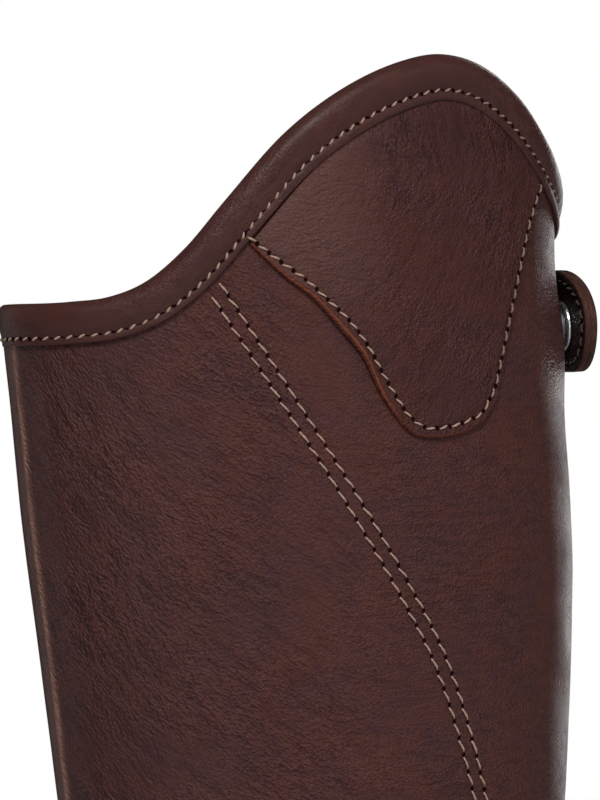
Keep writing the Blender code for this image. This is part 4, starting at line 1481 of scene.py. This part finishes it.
def make_tab():
    count = 260
    outline = tab_outline(count)
    layers = [
        # inward, lift, dip
        (12.0, 0.02), (9.0, 0.02), (6.0, 0.02), (4.0, 0.04), (3.0, 0.04), (TAB_ROW, 0.16), (1.6, 0.05),
        (0.9, 0.06), (0.35, 0.16), (0.08, 0.40), (0.0, 0.90), (0.02, 1.45), (0.16, 1.65), (0.02, 1.85),
        (0.0, 2.60), (0.04, 3.10), (0.22, 3.36), (0.8, 3.50), (1.6, 3.52), (TAB_ROW, 3.38), (3.0, 3.52),
        (4.0, 3.54), (6.0, 3.54), (9.0, 3.54), (12.0, 3.54),
    ]
    points = []
    grain = []
    kinds = []
    run = np.arange(count) * 0.55
    for k, (inward, lift) in enumerate(layers):
        ring = tab_inset(outline, inward)
        uneven = ripples(ring[:, 0], ring[:, 1], 8.0, 41) * 0.08 * (1 if 2 < inward else 0.4)
        points.append(tab_points(ring[:, 0], ring[:, 1], lift + uneven))
        on_hide = (run, np.full(count, lift)) if 7 <= k <= 16 else (ring,)
        grain.append(np.column_stack([*on_hide, 0 * run]))
    faces = []
    for k in range(len(layers) - 1):
        faces += ring_faces(k * count, (k + 1) * count, count)
        kinds += [1 if 8 <= k <= 15 else (2 if k < 8 else 0)] * count
    for k in (0, len(layers) - 1):
        for n in range(count // 2):
            a, b = k * count + n, k * count + (n + 1) % count
            c, d = k * count + (count - n - 1) % count, k * count + (count - n) % count
            face = tuple(dict.fromkeys((a, b, c, d)))
            if len(face) > 2:
                faces.append(face)
                kinds.append(0 if k else 2)
    made = add_piece(
        "snap_tab_leather", np.concatenate(points), faces, [TAB, DYED, SHADED_TAB_INSIDE], ("snap_tab",),
        kinds=kinds, grain=np.concatenate(grain), smooth_below=60,
    )
    rows = []
    around = tab_inset(tab_outline(600), TAB_ROW)
    around = around[around[:, 0] < TAB_ROOT - 4]
    around = np.roll(around, -int(np.argmax(around[:, 0])), 0)
    gap = np.linalg.norm(np.diff(around, axis=0), axis=1)
    around = np.roll(around, -(int(np.argmax(gap)) + 1), 0)
    for lift, side in ((0.16, -1), (3.38, 1)):
        line = tab_points(around[:, 0], around[:, 1], np.full(len(around), lift))
        above = tab_points(around[:, 0], around[:, 1], np.full(len(around), lift + side))
        # The stitches on the tab's inside get full painted shade
        rows.append((line, above - line, 1.0 if side < 0 else 0.0))
    stitches("tab_stitches", rows, PLAIN_SEWING)


make_tab()


def lathe(profile, sides=64):
    """A profile of (radius, height) turned round, closed on itself where it has no point on the axis."""
    points = []
    rings = []
    for radius, height in profile:
        count = sides if radius else 1
        rings.append(list(range(len(points), len(points) + count)))
        for k in range(count):
            angle = 2 * math.pi * k / sides
            points.append((radius * math.cos(angle), radius * math.sin(angle), height))
    whole = profile[0][0] > 0
    faces = []
    for a, b in zip(rings, rings[1:] + (rings[:1] if whole else [])):
        for k in range(sides):
            corners = [a[k % len(a)], a[(k + 1) % len(a)], b[(k + 1) % len(b)], b[k % len(b)]]
            faces.append(tuple(dict.fromkeys(corners)))
    return np.array(points, float), faces


def make_snap():
    profiles = {
        "snap_cap": ((0, 8.0), (6.0, 8.0), (6.35, 8.15), (6.45, 8.35), (6.3, 8.6), (5.7, 8.9), (4.8, 9.2),
                     (3.6, 9.45), (2.2, 9.62), (1.0, 9.69), (0, 9.7)),
        "snap_socket": ((2.35, 3.9), (2.32, 2.6), (2.36, 1.95), (2.55, 1.72), (3.0, 1.72), (3.9, 1.92),
                        (4.8, 2.28), (5.5, 2.72), (6.0, 3.2), (6.25, 3.65), (6.2, 4.0), (5.9, 4.2),
                        (2.35, 4.2)),
        "snap_stud": ((0, 0.2), (5.0, 0.2), (5.2, 0.45), (5.2, 0.9), (4.9, 1.2), (2.7, 1.6), (2.1, 1.8),
                      (1.95, 2.3), (2.15, 2.9), (2.2, 3.2), (1.9, 3.5), (1.2, 3.6), (0, 3.6)),
    }
    point, round_leg, upward, outward = skin_axes(SNAP_TURN, SNAP_HEIGHT - SNAP_DOWN)
    for name, profile in profiles.items():
        points, faces = lathe(profile)
        placed = point + points[:, :1] * round_leg + points[:, 1:2] * upward + points[:, 2:] * outward
        add_piece(name + "_metal", placed, faces, [NICKEL], (name,), smooth_below=50)


make_snap()


# Camera, floor and light

AZIMUTH = math.radians(-30)
CAMERA_DISTANCE = 3.0
CAMERA_HEIGHT = 0.040
VIEW_HEIGHT = 0.200
LIT_PLACE = (0, 0, 0.03)

toward = Vector((math.sin(AZIMUTH), -math.cos(AZIMUTH), 0))
aside = Vector((math.cos(AZIMUTH), math.sin(AZIMUTH), 0))
camera_data = bpy.data.cameras.new("camera")
camera_data.sensor_width = 36.0
camera_data.lens = camera_data.sensor_width * CAMERA_DISTANCE / VIEW_HEIGHT
camera = bpy.data.objects.new("camera", camera_data)
camera.location = toward * CAMERA_DISTANCE + Vector((0, 0, CAMERA_HEIGHT))
camera.rotation_euler = (math.pi / 2, 0, AZIMUTH)
bpy.context.scene.collection.objects.link(camera)
bpy.context.scene.camera = camera

floor_finish, floor_tree, floor_shader = new_finish("pale_floor", (0.80, 0.80, 0.80), 0.6)
cloud = noise(floor_tree, node(floor_tree, "TexCoord").outputs["Object"], 3.0, 3.0)
floor_tree.links.new(ranged(floor_tree, cloud, 0.3, 0.7, 0.55, 0.68), floor_shader.inputs["Roughness"])
floor_mesh = bpy.data.meshes.new("floor")
FLOOR_HALF = 3.5
FLOOR_LEVEL = HEM_LOWEST * METRES_PER_MM - 0.0006
corners = ((-1, -1), (1, -1), (1, 1), (-1, 1))
places = [(x * FLOOR_HALF, y * FLOOR_HALF, FLOOR_LEVEL) for x, y in corners]
floor_mesh.from_pydata(places, [], [(0, 1, 2, 3)])
floor_mesh.materials.append(floor_finish)
floor = bpy.data.objects.new("floor", floor_mesh)
bpy.context.scene.collection.objects.link(floor)


def softbox(name, right, towards, up, width, height, power):
    """An area light, placed in metres to the camera's right, towards it and above the calf."""
    data = bpy.data.lights.new(name, "AREA")
    data.shape = "RECTANGLE"
    data.size = width
    data.size_y = height
    data.energy = power
    made = bpy.data.objects.new(name, data)
    made.location = aside * right + toward * towards + Vector((0, 0, up))
    look = Vector(LIT_PLACE) - made.location
    made.rotation_euler = look.to_track_quat("-Z", "Y").to_euler()
    made.visible_camera = False
    bpy.context.scene.collection.objects.link(made)


# name, right, towards, up, width, height, watts
for light in (
    ("key", 0.00, 1.25, 1.25, 0.5, 0.5, 29.5),
    ("fill", 0.30, 2.00, 0.20, 0.9, 0.9, 3.6),
    ("side", 1.45, 0.65, 0.6, 0.6, 0.9, 5.0),
    ("right_strip", 0.46, -1.08, 0.10, 0.30, 1.2, 5.0),
    ("left_strip", -0.98, -0.62, 0.10, 0.16, 1.2, 1.5),
):
    softbox(*light)

world = bpy.data.worlds.new("studio")
bpy.context.scene.world = world
world.use_nodes = True
sky = world.node_tree
sky.nodes.clear()
seen = node(sky, "LightPath").outputs["Is Camera Ray"]
dim = node(sky, "Background", {"Color": (1.0, 0.97, 0.95), "Strength": 0.06}).outputs[0]
white = node(sky, "Background", {"Color": (1.0, 1.0, 1.0), "Strength": 1.0}).outputs[0]
blend = node(sky, "MixShader", {0: seen, 1: dim, 2: white}).outputs[0]
node(sky, "OutputWorld", {"Surface": blend})
bpy.context.scene.view_settings.view_transform = "Standard"

bpy.context.view_layer.update()
